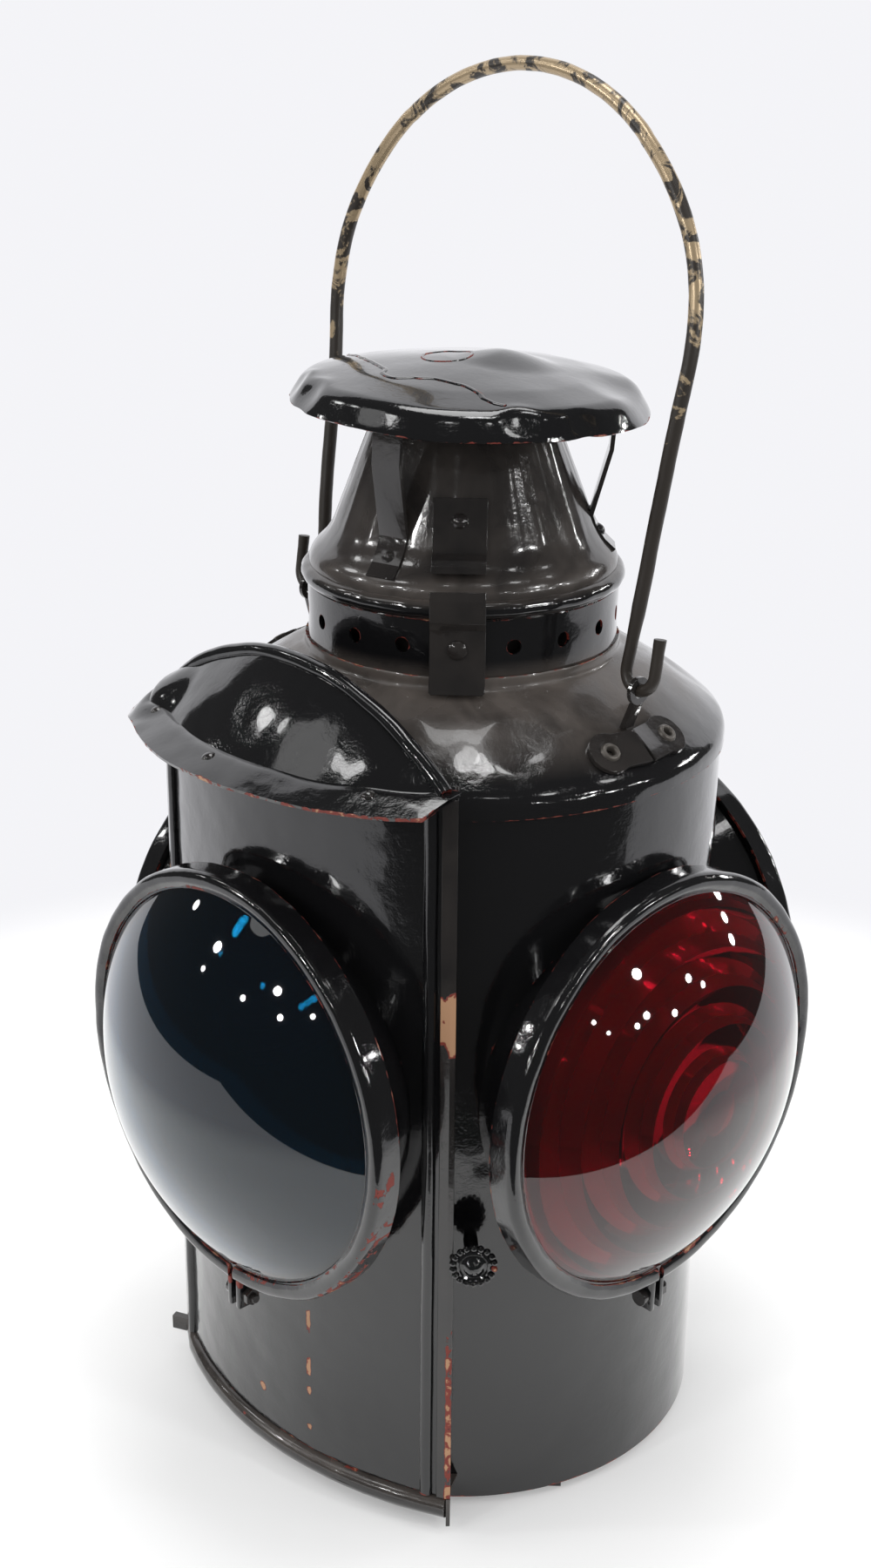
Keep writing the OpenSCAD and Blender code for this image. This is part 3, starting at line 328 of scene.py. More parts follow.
def make_lamp(number, azimuth, height, size, bright):
    """A disk lamp in a direction in degrees; a brightness of 1 is that of white paper."""
    light = bpy.data.lights.new("lamp", "AREA")
    light.shape = "DISK"
    light.size = size
    light.energy = bright * math.pi * math.pi * size * size / 4
    lamp = bpy.data.objects.new("lamp_%02d" % number, light)
    around, up = math.radians(azimuth), math.radians(height)
    out = Vector((math.cos(around) * math.cos(up), math.sin(around) * math.cos(up), math.sin(up)))
    lamp.location = AIM + out * LAMP_AWAY
    lamp.rotation_euler = (AIM - lamp.location).to_track_quat("-Z", "Y").to_euler()
    bpy.context.scene.collection.objects.link(lamp)


make_world()
for number, lamp in enumerate(LAMPS):
    make_lamp(number, *lamp)
bpy.context.scene.view_settings.view_transform = "Standard"
print("lamps", len(LAMPS))

# %% [markdown]
# ## Finishes
# The paint is black enamel over red oxide. A mask made of the wear attribute and two noises decides where
# the black is gone: at its edge the oxide shows, and further in the bare, tan steel. Dust lies as a thin
# brown film where the dust attribute says so. A clear coat lies over the paint, smoother than what is under
# it, because enamel is dim when it is looked at straight and bright at a slant. All of it follows the
# object's own coordinates.

# %% Finishes
BLACK = (0.0055, 0.0055, 0.006, 1.0)
OXIDE = (0.16, 0.022, 0.014, 1.0)
TAN = (0.36, 0.2, 0.11, 1.0)
DUST = (0.15, 0.127, 0.112, 1.0)
WIRE_DARK = (0.028, 0.023, 0.019, 1.0)
WIRE_BRASSY = (0.43, 0.33, 0.21, 1.0)
CHIPS = 0.8
SMOOTH = 0.045


def enamel(name, worn=None):
    """Black enamel that is chipped where it is worn, with a fine orange peel in its surface."""
    finish = Finish(name)
    fine = finish.noise(1500.0, 2.0, 0.6)
    broad = finish.noise(240.0, 3.0, 0.55, 0.4)
    patch = finish.noise(38.0, 3.0, 0.6, 0.6)
    edge = worn(finish) if worn else finish.attribute("wear")
    dusty = finish.attribute("dust")
    bare = edge * 0.42 + broad * 0.5 + patch * 0.28
    oxide = bare.above(CHIPS, CHIPS + 0.025)
    steel = bare.above(CHIPS + 0.07, CHIPS + 0.1)
    film = (dusty * (patch * 1.6 - 0.25)).capped() * 0.55
    colour = finish.mix(film, BLACK, DUST)
    colour = finish.mix(oxide, colour, OXIDE)
    colour = finish.mix(steel, colour, TAN)
    finish.set(Base_Color=colour)
    finish.set(Roughness=(film * 0.5 + oxide * 0.4 + broad * 0.05 + SMOOTH).capped())
    finish.set(Normal=finish.bump(broad * 0.6 + fine * 0.16 - oxide * 0.5, 0.00035, 0.55))
    finish.set(Coat_Weight=(0.8 - oxide - film).capped(), Coat_Roughness=0.04, Specular_IOR_Level=0.38)
    return finish.material


def ridge_wear(finish):
    """Paint is gone along the outer edge of a guide, most in its lower third and near the knob."""
    up = finish.axis("Z")
    outer = radius_of(finish).above(0.1034, 0.1041)
    low = 1.0 - up.above(0.02, 0.16)
    patch = up.above(0.183, 0.193) * (1.0 - up.above(0.204, 0.214))
    patch = radius_of(finish).above(0.0995, 0.1015) * patch
    return outer * (low * 0.85 + 0.5) + patch * 1.15


def plain(name, colour, metallic, rough):
    finish = Finish(name)
    finish.set(Base_Color=colour, Metallic=metallic, Roughness=rough)
    return finish.material


def worn_metal(name):
    """Wire with black paint left in its hollows and brassy brown steel on its rubbed sides."""
    finish = Finish(name)
    streak = finish.noise(85.0, 4.0, 0.6, 1.6)
    fine = finish.noise(700.0, 3.0, 0.6)
    rubbed = (finish.attribute("wear") * 0.7 + streak * 0.95 + fine * 0.14).above(0.84, 0.92)
    colour = finish.mix(rubbed, WIRE_DARK, WIRE_BRASSY)
    finish.set(Base_Color=colour, Metallic=rubbed * 0.5, Roughness=0.38 - rubbed * 0.1)
    finish.set(Normal=finish.bump(streak * 0.6 + fine * 0.15, 0.0002, 0.4))
    return finish.material


def glass(name, colour, clear, rough=0.03):
    """Tinted glass; what is not clear of it scatters light, as old scratched glass does. Where it is bright
    and only partly clear, as on the red steps, that scattered red is a painted highlight.
    """
    finish = Finish(name)
    finish.set(Base_Color=colour, Roughness=rough, Transmission_Weight=clear, IOR=1.42)
    finish.set(Coat_Weight=0.8, Coat_Roughness=0.02)
    return finish.material


FINISHES = {
    "black_paint": enamel("black_paint"),
    "ridge_paint": enamel("ridge_paint", ridge_wear),
    "dark_steel": plain("dark_steel", (0.03, 0.028, 0.026, 1), 0.4, 0.4),
    "spring_steel": plain("spring_steel", (0.03, 0.03, 0.03, 1), 0.3, 0.3),
    "worn_wire": worn_metal("worn_wire"),
    "rubbed_steel": plain("rubbed_steel", (0.1, 0.09, 0.08, 1), 0.5, 0.35),
    "tinned_steel": plain("tinned_steel", (0.5, 0.48, 0.44, 1), 1.0, 0.4),
    "old_brass": plain("old_brass", (0.48, 0.36, 0.16, 1), 1.0, 0.4),
    "felt": plain("felt", (0.12, 0.1, 0.08, 1), 0.0, 0.9),
    "wick_cotton": plain("wick_cotton", (0.78, 0.74, 0.64, 1), 0.0, 0.9),
    "red_glass": glass("red_glass", (0.2, 0.0015, 0.006, 1), 0.97),
    # painted highlight: the steps' steep inner faces get a bright, half-clear red that stands in for the
    # light they catch
    "red_steps_painted_highlight": glass("red_steps_painted_highlight", (0.9, 0.014, 0.035, 1), 0.35, 0.3),
    "blue_glass": glass("blue_glass", (0.001, 0.042, 0.09, 1), 0.96),
}
SLOTS = {part["node"]: part["material_slot"] for part in frame["record"]["subparts"]}
for node, piece in frame["nodes"].items():
    piece.data.materials.clear()
    piece.data.materials.append(FINISHES[SLOTS[node]])
BODY_OF = {node: body for body, nodes in frame["record"]["behaviour"]["bodies"].items() for node in nodes}
print("finishes", len(FINISHES))

# %% [markdown]
# # Shapes
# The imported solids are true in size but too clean. Each visible piece is modelled again in millimetres,
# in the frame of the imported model, and scaled to metres when it is done. A line of points is the start of
# nearly all of them: it is made denser, its corners are eased, and it is spun, extruded or swept.

# %% Lines
SHEET = 1.0


def clamp(value, low=0.0, high=1.0):
    return max(low, min(high, value))


def along(line, gap):
    """The points of a line, with more between them, so that none lie further apart than gap."""
    dense = [Vector(line[0])]
    for start, end in zip(line, line[1:]):
        start, end = Vector(start), Vector(end)
        parts = max(1, math.ceil((end - start).length / gap))
        dense += [start.lerp(end, step / parts) for step in range(1, parts + 1)]
    return dense


def eased(line, cut, steps=4):
    """The same line with each inner corner turned into a short curve that starts cut before it."""
    line = [Vector(point) for point in line]
    smooth = [line[0]]
    for before, corner, after in zip(line, line[1:], line[2:]):
        back, on = before - corner, after - corner
        start = corner + back.normalized() * min(cut, back.length * 0.45)
        end = corner + on.normalized() * min(cut, on.length * 0.45)
        for step in range(steps + 1):
            part = step / steps
            smooth.append(start * (1 - part) ** 2 + corner * 2 * part * (1 - part) + end * part * part)
    return smooth + [line[-1]]


def doubled(line, thick):
    """The outline of a sheet: the line, and back along the same line moved thick to its right."""
    back = []
    for place, point in enumerate(line):
        before = line[max(place - 1, 0)]
        after = line[min(place + 1, len(line) - 1)]
        way = (after - before).normalized()
        back.append(point + Vector((way.y, -way.x)) * thick)
    return list(line) + back[::-1]


print("a corner becomes", len(eased([(0, 0), (10, 0), (10, 10)], 2)), "points")

# %% Spinning and sweeping
def shift(shape, x, y, z):
    bmesh.ops.translate(shape, verts=shape.verts, vec=(x, y, z))


def face_out(shape):
    bmesh.ops.recalc_face_normals(shape, faces=shape.faces)


def close_holes(shape):
    bmesh.ops.holes_fill(shape, edges=[edge for edge in shape.edges if edge.is_boundary], sides=0)


def thicken(shape):
    """Gives a surface the thickness of sheet metal."""
    face_out(shape)
    bmesh.ops.solidify(shape, geom=shape.faces[:], thickness=SHEET)
    face_out(shape)


def flat_sheet(columns, rows, middle, width, low, high):
    """A flat grid that is bent later: X runs across it and Y runs up."""
    shape = bmesh.new()
    bmesh.ops.create_grid(shape, x_segments=columns, y_segments=rows, size=1.0)
    bmesh.ops.scale(shape, verts=shape.verts, vec=(width / 2, (high - low) / 2, 1))
    shift(shape, middle, (high + low) / 2, 0)
    return shape


def lathe(outline, steps, closed=False, turn=math.tau, start=0.0):
    """Spins a line of (radius, height) about Z. A closed outline makes a wall with two faces."""
    shape = bmesh.new()
    dots = [shape.verts.new((point[0], 0.0, point[1])) for point in outline]
    pairs = list(zip(dots, dots[1:])) + ([(dots[-1], dots[0])] if closed else [])
    sides = [shape.edges.new(pair) for pair in pairs]
    whole = abs(turn - math.tau) < 1e-6
    bmesh.ops.spin(
        shape, geom=dots + sides, cent=(0, 0, 0), axis=(0, 0, 1), angle=turn, steps=steps, use_merge=whole
    )
    bmesh.ops.remove_doubles(shape, verts=shape.verts, dist=0.0005)
    if not whole:
        close_holes(shape)
    bmesh.ops.rotate(shape, verts=shape.verts, cent=(0, 0, 0), matrix=Matrix.Rotation(start, 3, "Z"))
    face_out(shape)
    return shape


def sweep(path, radius, sides=14):
    """A round wire: a circle that is extruded from point to point of a path and turned with it."""
    shape = bmesh.new()
    ways = [(after - before).normalized() for before, after in zip(path, path[1:])]
    ways = [ways[0]] + [(a + b).normalized() for a, b in zip(ways, ways[1:])] + [ways[-1]]
    first = Matrix.Translation(path[0]) @ ways[0].to_track_quat("Z", "Y").to_matrix().to_4x4()
    ring = bmesh.ops.create_circle(shape, segments=sides, radius=radius, matrix=first)["verts"]
    rim = list(dict.fromkeys(edge for dot in ring for edge in dot.link_edges))
    ends = list(rim)
    for place in range(1, len(path)):
        step = bmesh.ops.extrude_edge_only(shape, edges=rim)["geom"]
        dots = points_in(step)
        rim = [edge for edge in edges_in(step) if set(edge.verts) <= set(dots)]
        bend = ways[place - 1].rotation_difference(ways[place]).to_matrix().to_4x4()
        move = Matrix.Translation(path[place]) @ bend @ Matrix.Translation(-path[place - 1])
        bmesh.ops.transform(shape, matrix=move, space=Matrix.Identity(4), verts=dots)
    bmesh.ops.holes_fill(shape, edges=ends + rim, sides=0)
    face_out(shape)
    return shape


def joined(shape, other):
    """Puts another shape into this one."""
    mesh = bpy.data.meshes.new("part")
    other.to_mesh(mesh)
    other.free()
    shape.from_mesh(mesh)
    bpy.data.meshes.remove(mesh)
    return shape


print("spinning and sweeping ready")

# %% [markdown]
# ## Wear, waves and dents
# A sheet that was pressed by hand a century ago is never true. A slow noise moves every point a little, a
# dent pushes the points near one place, and a float attribute marks how near a point is to an outward
# edge, so that the paint can be worn away there and nowhere else. The vector noise takes its start from
# the clock unless it is given a seed, so it gets one: the same lantern has to come out each time.

# %% Wear, waves and dents
noise.seed_set(11)


def waver(shape, size, amount, seed, squash=(1, 1, 1)):
    """Moves all points by a slow noise: size is the length of a wave and amount its height."""
    start = Vector((seed * 17.3, seed * 5.1, seed * 9.7))
    for dot in shape.verts:
        wave = noise.noise_vector(dot.co / size + start)
        dot.co += Vector((wave.x * squash[0], wave.y * squash[1], wave.z * squash[2])) * amount


def dent(shape, centre, reach, push):
    """Pushes the points within reach of a place, most at its middle."""
    centre, push = Vector(centre), Vector(push)
    for dot in shape.verts:
        near = 1 - (dot.co - centre).length_squared / reach ** 2
        if near > 0:
            dot.co += push * near * near


def dents(shape, rows, lift=0.0):
    """Pushes in a list of dents, each written as its place, its reach and its push."""
    for (x, y, z), reach, push in rows:
        dent(shape, (x, y, z + lift), reach, push)


def mark_edges(shape, reach, bend=35):
    """Writes the wear attribute: 1 on outward edges sharper than bend, fading to 0 at reach."""
    worn = shape.verts.layers.float.get("wear") or shape.verts.layers.float.new("wear")
    shape.normal_update()
    edges = [e for e in shape.edges if e.is_manifold and e.calc_face_angle_signed(0) > math.radians(bend)]
    corners = {dot for edge in edges for dot in edge.verts}
    tree = kdtree.KDTree(len(corners))
    for number, dot in enumerate(corners):
        tree.insert(dot.co, number)
    tree.balance()
    for dot in shape.verts:
        far = tree.find(dot.co)[2] if corners else reach
        dot[worn] = max(0.0, 1 - far / reach)


def mark(shape, name, rule):
    """Writes one float attribute from a rule that reads a point in millimetres."""
    layer = shape.verts.layers.float.get(name) or shape.verts.layers.float.new(name)
    for dot in shape.verts:
        dot[layer] = rule(dot.co)


def new_piece(name, shape, finish, nodes, bend=35):
    """Makes the finished piece from a shape in millimetres; it stands for these nodes of the frame."""
    bmesh.ops.scale(shape, verts=shape.verts, vec=(MM, MM, MM))
    mesh = bpy.data.meshes.new(name)
    shape.to_mesh(mesh)
    shape.free()
    mesh.polygons.foreach_set("use_smooth", [True] * len(mesh.polygons))
    mesh.set_sharp_from_angle(angle=math.radians(bend))
    mesh.materials.append(finish)
    piece = bpy.data.objects.new(name, mesh)
    bpy.context.scene.collection.objects.link(piece)
    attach(piece, BODY_OF[nodes[0]])
    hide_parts(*nodes)
    print(name, len(mesh.vertices), "points")
    return piece


def round_z(azimuth):
    """Turns a shape that was drawn towards +X to an azimuth in degrees."""
    return Matrix.Rotation(math.radians(azimuth), 4, "Z")


def lens_place(azimuth):
    """The frame of a lens: its own Z points out of the lamp and its own X points down."""
    return round_z(azimuth) @ Matrix.Translation((0, 0, LENS_Z)) @ Matrix.Rotation(math.pi / 2, 4, "Y")


def moved(shape, matrix):
    bmesh.ops.transform(shape, matrix=matrix, space=Matrix.Identity(4), verts=shape.verts)
    return shape


print("wear ready")

# %% [markdown]
# ## The hat
# The hat is a shallow domed disc with a turned-down edge. It could be dented in sculpt mode, but a spun
# line and a few pushes can be read and changed. The real one has slipped and leans a little, so the whole
# hat is turned, and a thin raised line follows the wandering break in its paint.

# %% Hat
HAT_Z = 374.0
HAT_TILT = Matrix.Rotation(math.radians(2.2), 4, Vector((-0.714, 0.70, 0)))
HAT_SHIFT = Vector((1.6, 1.0, 1.4))
HAT_LINE = [
    (0, 16.4), (9.4, 16.0), (20, 14.6), (40, 11.6), (53.5, 8.6), (56.2, 6.6), (59.3, 1.4), (59.9, 0.1),
]
HAT_DENTS = [
    ((9, 8, 15), 19, (0, 0, 2.4)), ((44, 30, 9), 20, (-0.6, -0.3, -1.5)),
    ((-20, -52, 6), 10, (1.4, 2.4, 1.2)), ((-34, -44, 5), 8, (1.6, 1.6, 1.6)),
    ((48, -26, 6), 9, (-2.0, 1.2, 1.0)), ((57, -6, 4), 8, (-1.6, 0.2, 1.0)),
]
PAINT_BREAK = [
    (-45, -14), (-36, -19), (-26, -24), (-14, -29), (-8, -31), (-4, -36), (2, -37), (6, -33),
    (12, -28.5), (17, -27.5), (23, -26), (28, -26.5), (33, -28), (39, -28.5), (43, -27),
]
CIRCLE_MIDDLE = Vector((-3.6, -7.8, 0))
CIRCLE_R = 8.2


def hat_place(point):
    """A point of the hat after it has slipped and leaned."""
    middle = Vector((0, 0, HAT_Z + 8))
    return HAT_TILT @ (point - middle) + middle + HAT_SHIFT


def hat_shape():
    line = along(eased(HAT_LINE, 1.6, 5), 1.6)
    shape = lathe(doubled(line, SHEET)[:-1] + [Vector((0.0, 15.4))], 190)
    shift(shape, 0, 0, HAT_Z)
    lay_on_hat(shape, paint_break(), 0.9, 0.42)
    lay_on_hat(shape, paint_circle(), 0.6, 0.5)
    waver(shape, 40, 0.9, 1, (0.4, 0.4, 1))
    waver(shape, 11, 0.12, 2, (0.6, 0.6, 1))
    dents(shape, HAT_DENTS, HAT_Z)
    for dot in shape.verts:
        dot.co = hat_place(dot.co)
    mark_edges(shape, 2.2, 40)
    return shape


def lay_on_hat(shape, path, radius, flat):
    """A thin raised line along a path, pressed flat on to the hat's skin."""
    section = [Vector(point) for point in HAT_LINE]

    def skin(at):
        """Height of the pressed line over the hat's rim, before the hat was dented."""
        for inner, outer in zip(section, section[1:]):
            if inner.x <= at.xy.length <= outer.x:
                return inner.lerp(outer, (at.xy.length - inner.x) / (outer.x - inner.x)).y
        return 0.0

    path = [Vector((point.x, point.y, HAT_Z + skin(point))) for point in path]
    wire = sweep(path, radius, 8)
    for dot in wire.verts:
        level = HAT_Z + skin(dot.co)
        dot.co.z = level + (dot.co.z - level) * flat
    return joined(shape, wire)


def paint_break():
    line = along(eased([Vector((x, y, 0)) for x, y in PAINT_BREAK], 2.5, 4), 1.2)
    waves = [noise.noise_vector(point / 3.0) * 0.6 for point in line]
    return [point + Vector((wave.x, wave.y, 0)) for point, wave in zip(line, waves)]


def paint_circle():
    turns = [math.tau * step / 60 for step in range(61)]
    return [CIRCLE_MIDDLE + Vector((math.cos(turn), math.sin(turn), 0)) * CIRCLE_R for turn in turns]


new_piece("hat_sheet", hat_shape(), FINISHES["black_paint"], ["hat"])

# %% [markdown]
# ## The chimney
# The chimney is spun from one line: a spigot, a flare over the wired ring and a plain cone. Its cone was
# rolled, and shallow upright flutes were left in it, which break every reflection into streaks.

# %% Cone and ring
COLLAR_TOP = 316.0
CONE_LINE = [(51.5, -5), (51.5, 8), (50.3, 10.6), (46.5, 14.2), (43.3, 19.0), (41.8, 23.0), (28.0, 58.5)]
RING_R, RING_Z, RING_WIRE = 51.9, 319.4, 3.2
RING_SEAM = math.radians(-58)


def cone_shape():
    line = along(eased(CONE_LINE, 2.2, 4), 2.0)
    shape = lathe(doubled(line, SHEET), 200, closed=True)
    shift(shape, 0, 0, COLLAR_TOP)
    for dot in shape.verts:
        up = dot.co.z - COLLAR_TOP
        if up > 12:
            around = math.atan2(dot.co.y, dot.co.x)
            flute = noise.noise(Vector((math.cos(around) * 4, math.sin(around) * 4, up * 0.01)))
            flute += 0.5 * noise.noise(Vector((math.cos(around) * 11, math.sin(around) * 11, up * 0.02)))
            out = Vector((dot.co.x, dot.co.y, 0)).normalized()
            dot.co += out * flute * 0.8 * min(1.0, (up - 12) / 12)
    waver(shape, 9, 0.12, 3)
    mark_edges(shape, 1.6)
    mark(shape, "dust", lambda at: max(0.5, 1 - abs(at.z - COLLAR_TOP - 9) / 14))
    return shape


def ring_shape():
    path = []
    for step in range(181):
        around = RING_SEAM + math.tau * step / 180
        lift = 0.8 * max(0.0, 1 - step / 7) + 0.15 * math.sin(step * 0.9)
        reach = RING_R + lift * 0.5
        path.append(Vector((math.cos(around) * reach, math.sin(around) * reach, RING_Z)))
    shape = sweep(path, RING_WIRE, 18)
    waver(shape, 6, 0.3, 4, (1, 1, 0.6))
    mark(shape, "wear", lambda at: 0.55 * max(0.0, 1 - abs(at.z - 321.4) / 1.4))
    mark(shape, "dust", lambda at: clamp((at.z - 320.4) / 2.0))
    return shape


new_piece("chimney_cone_sheet", cone_shape(), FINISHES["black_paint"], ["chimney_cone"])
new_piece("chimney_ring_wire", ring_shape(), FINISHES["black_paint"], ["chimney_ring"])

# %% [markdown]
# ## The shoulder
# The shoulder slopes from the collar to a short upright band over the body. Behind the door its band is
# pushed flat, as on the real lantern, where the door slides past it.

# %% Shoulder
RIM_Z = 262.5
NECK_Z = 293.5
NECK_R = 54.1
BAND_BACK = -90.2
SHOULDER_DENTS = ((-62, 281, 1.0), (-30, 279, 0.9), (4, 275, 1.1), (55, 280, 0.8), (150, 278, 1.0))


def shoulder_z(radius):
    run = radius - NECK_R
    return NECK_Z - 0.458 * run - 0.00569 * run * run


def shoulder_shape():
    slope = [(NECK_R + 35.0 * part / 12, shoulder_z(NECK_R + 35.0 * part / 12)) for part in range(13)]
    line = [(53.8, NECK_Z + 4), (NECK_R, NECK_Z + 3.4)] + slope
    line += [(90.5, RIM_Z + 6.4), (91.3, RIM_Z + 4.0), (91.3, RIM_Z)]
    line = along(eased(line, 1.4, 3), 1.6)
    shape = lathe(doubled(line, SHEET), 240, closed=True)
    waver(shape, 30, 0.7, 5, (0.25, 0.25, 1))
    waver(shape, 9, 0.16, 6)
    for around, up, deep in SHOULDER_DENTS:
        dent(shape, round_z(around) @ Vector((74, 0, up)), 13, (0, 0, -deep))
    for dot in shape.verts:
        if abs(dot.co.x) < 52 and dot.co.z < RIM_Z + 12:
            dot.co.y = max(dot.co.y, BAND_BACK)
        dot.co.z = max(dot.co.z, RIM_Z)
    mark_edges(shape, 1.8)
    mark(shape, "dust", lambda at: clamp((at.z - RIM_Z - 10) / 12, 0.0, 1.7))
    return shape


new_piece("shoulder_sheet", shoulder_shape(), FINISHES["black_paint"], ["shoulder"])

# %% [markdown]
# ## The perforated collar
# A row of air holes is punched in the collar. The holes are cut while the sheet is still a flat grid, as
# the maker did, and then the sheet is bent into a tube.

# %% Collar
COLLAR_R = 53.0
COLLAR_LOW = 291.0
HOLE_Z = 306.8
HOLE_R = 2.5
HOLES = 18
LATCH_AZ = -46.0


def punch(shape, middle, radius):
    """Cuts a round hole in a flat grid and draws its ragged edge on to the circle."""
    middle = Vector(middle)
    gone = [face for face in shape.faces if (face.calc_center_median() - middle).length < radius]
    rim = {dot for face in gone for dot in face.verts}
    bmesh.ops.delete(shape, geom=gone, context="FACES")
    for dot in rim:
        if dot.is_valid:
            dot.co = middle + (dot.co - middle).normalized() * radius


def collar_shape():
    girth = math.tau * COLLAR_R
    shape = flat_sheet(HOLES * 18, 24, girth / 2, girth, COLLAR_LOW, COLLAR_TOP)
    for number in range(1, HOLES):
        punch(shape, (girth * number / HOLES, HOLE_Z, 0), HOLE_R)
    for dot in shape.verts:
        around = dot.co.x / COLLAR_R + math.radians(LATCH_AZ)
        dot.co = Vector((COLLAR_R * math.cos(around), COLLAR_R * math.sin(around), dot.co.y))
    bmesh.ops.remove_doubles(shape, verts=shape.verts, dist=0.01)
    thicken(shape)
    waver(shape, 14, 0.35, 71, (1, 1, 0))
    mark_edges(shape, 1.2)
    mark(shape, "dust", lambda at: clamp((302 - at.z) / 6))
    return shape


new_piece("vent_collar_sheet", collar_shape(), FINISHES["black_paint"], ["vent_collar"])

# %% [markdown]
# ## Lens rings
# Each lens sits in a split ring of strip metal with a turned-in front lip. The ring is a line spun almost
# all the way round: the gap at the bottom stays open, and two ears there take the clamp bolt.

# %% Lens rings
LENS_Z = 159.0
FRONTS = {0: 103.0, 90: 103.0, 180: 103.0, -90: 109.0}
STRIP_LINE = [(70.0, -0.9), (72.0, -0.1), (74.4, -0.2), (75.9, -1.8), (76.0, -10.2)]
STRIP_R = 76
SPLIT_HALF = 1.2
EAR_SIZE = (12.4, 2.0, 7.8)


def scuff_ring(shape, scuffs):
    """More wear at the lower right of a ring and on its inner lip, and less on its ears."""
    worn = shape.verts.layers.float["wear"]
    for dot in shape.verts:
        reach = dot.co.xy.length
        if reach > 74.5 and dot.co.z > -9:
            scuffed = clamp((dot.co.y - 18) / 30) * clamp((dot.co.x + 25) / 30, 0.3) * scuffs
            dot[worn] = max(dot[worn], scuffed)
        if reach < 70.9 and dot.co.z > -1.7:
            dot[worn] = max(dot[worn], 0.9)
        if reach > 77.5:
            dot[worn] *= 0.3


def lens_ring_shape(front, seed, scuffs):
    line = along(eased(STRIP_LINE, 1.3, 4), 1.2)
    outline = doubled(line, SHEET)[:-1] + [Vector((70.0, -1.9))]
    gap = math.asin(SPLIT_HALF / STRIP_R)
    shape = lathe(outline, 220, closed=True, turn=math.tau - 2 * gap, start=gap)
    for side in (-1, 1):
        ear = bmesh.new()
        bmesh.ops.create_cube(ear, size=1.0)
        bmesh.ops.scale(ear, verts=ear.verts, vec=EAR_SIZE)
        shift(ear, 80.8, side * 2.2, -5.3)
        bmesh.ops.bevel(
            ear, geom=ear.edges[:], offset=0.5, segments=2, profile=0.5, affect="EDGES", material=-1
        )
        joined(shape, ear)
    waver(shape, 26, 0.45, seed, (1, 1, 0.5))
    waver(shape, 7, 0.22, seed + 1, (1, 1, 0.6))
    mark_edges(shape, 1.3, 14)
    scuff_ring(shape, scuffs)
    shift(shape, 0, 0, front)
    return shape


RING_NODES = {0: "lens_ring_right", 90: "lens_ring_back", 180: "lens_ring_left", -90: "door_lens_ring"}
for azimuth, node in RING_NODES.items():
    strip = lens_ring_shape(FRONTS[azimuth], 10 + azimuth // 45, 0.95 if azimuth == -90 else 0.45)
    new_piece(node + "_strip", moved(strip, lens_place(azimuth)), FINISHES["black_paint"], [node], 28)

# %% [markdown]
# ## Pressed glass
# A signal lens is smooth outside. The red ones are stepped inside: each step is a slice of a thick lens, so
# the glass stays thin. The steps show through the front as rings, so they are modelled; their steep inner
# faces also get a brighter, half-clear red, which is a painted highlight for the light they catch.

# %% Lenses
DOME_R = 69.4
DOME_RISE = 27.3
BALL = (DOME_R ** 2 + DOME_RISE ** 2) / (2 * DOME_RISE)
INNER_R = 65.0
GLASS = 8.0


def dome_height(radius):
    return DOME_RISE - BALL + math.sqrt(BALL ** 2 - radius ** 2)


def lens_outline(steps):
    """Half a section of a lens; without steps its inner side follows the dome."""
    front = [DOME_R * part / 40 for part in range(41)]
    outline = [(reach, dome_height(reach)) for reach in front]
    outline += [(73.0, 0), (73.2, -0.3), (73.2, -3.7), (72.9, -4.0), (INNER_R, -4.0)]
    if not steps:
        behind = [INNER_R * part / 30 for part in range(29, -1, -1)]
        return outline + [(reach, dome_height(reach) - GLASS) for reach in behind]
    for step in range(steps):
        outer = INNER_R - 58.0 * step / steps
        inner = INNER_R - 58.0 * (step + 1) / steps
        top = max(-1.0, dome_height((outer + inner) / 2) - GLASS)
        outline += [(outer - 0.3, top + 1.6), (inner + 0.6, top - 0.8)]
    outline += [(6.0, dome_height(6.0) - 9.0), (0.0, dome_height(0.0) - 9.0)]
    return outline


def mark_highlight_steps(shape):
    """Marks the steep inner faces of the steps for the second material, a rougher glass whose bright red is
    a painted highlight for the light these faces catch.
    """
    shape.normal_update()
    for face in shape.faces:
        steep = abs(face.normal.z) < 0.6
        face.material_index = int(steep and face.calc_center_median().xy.length < INNER_R)


LENS_NODES = {0: "lens_right", 90: "lens_back", 180: "lens_left", -90: "door_lens"}
for azimuth, node in LENS_NODES.items():
    red = azimuth in (0, 180)
    shape = lathe(lens_outline(5 if red else 0), 128)
    if red:
        mark_highlight_steps(shape)
    shift(shape, 0, 0, FRONTS[azimuth] - 1.3)
    finish = FINISHES["red_glass" if red else "blue_glass"]
    lens = new_piece(node + "_glass", moved(shape, lens_place(azimuth)), finish, [node], 25)
    if red:
        # the steps' steep inner faces take the painted highlight red
        lens.data.materials.append(FINISHES["red_steps_painted_highlight"])

# %% [markdown]
# ## The hood
# The hood over the door's lens is a piece of a sphere, cut by an upright plane behind and by the level
# brim below. A wire is rolled into its rear edge. Cutting a sphere with two planes gives the same shape
# as the press did; the crumple in its front is pushed in afterwards.

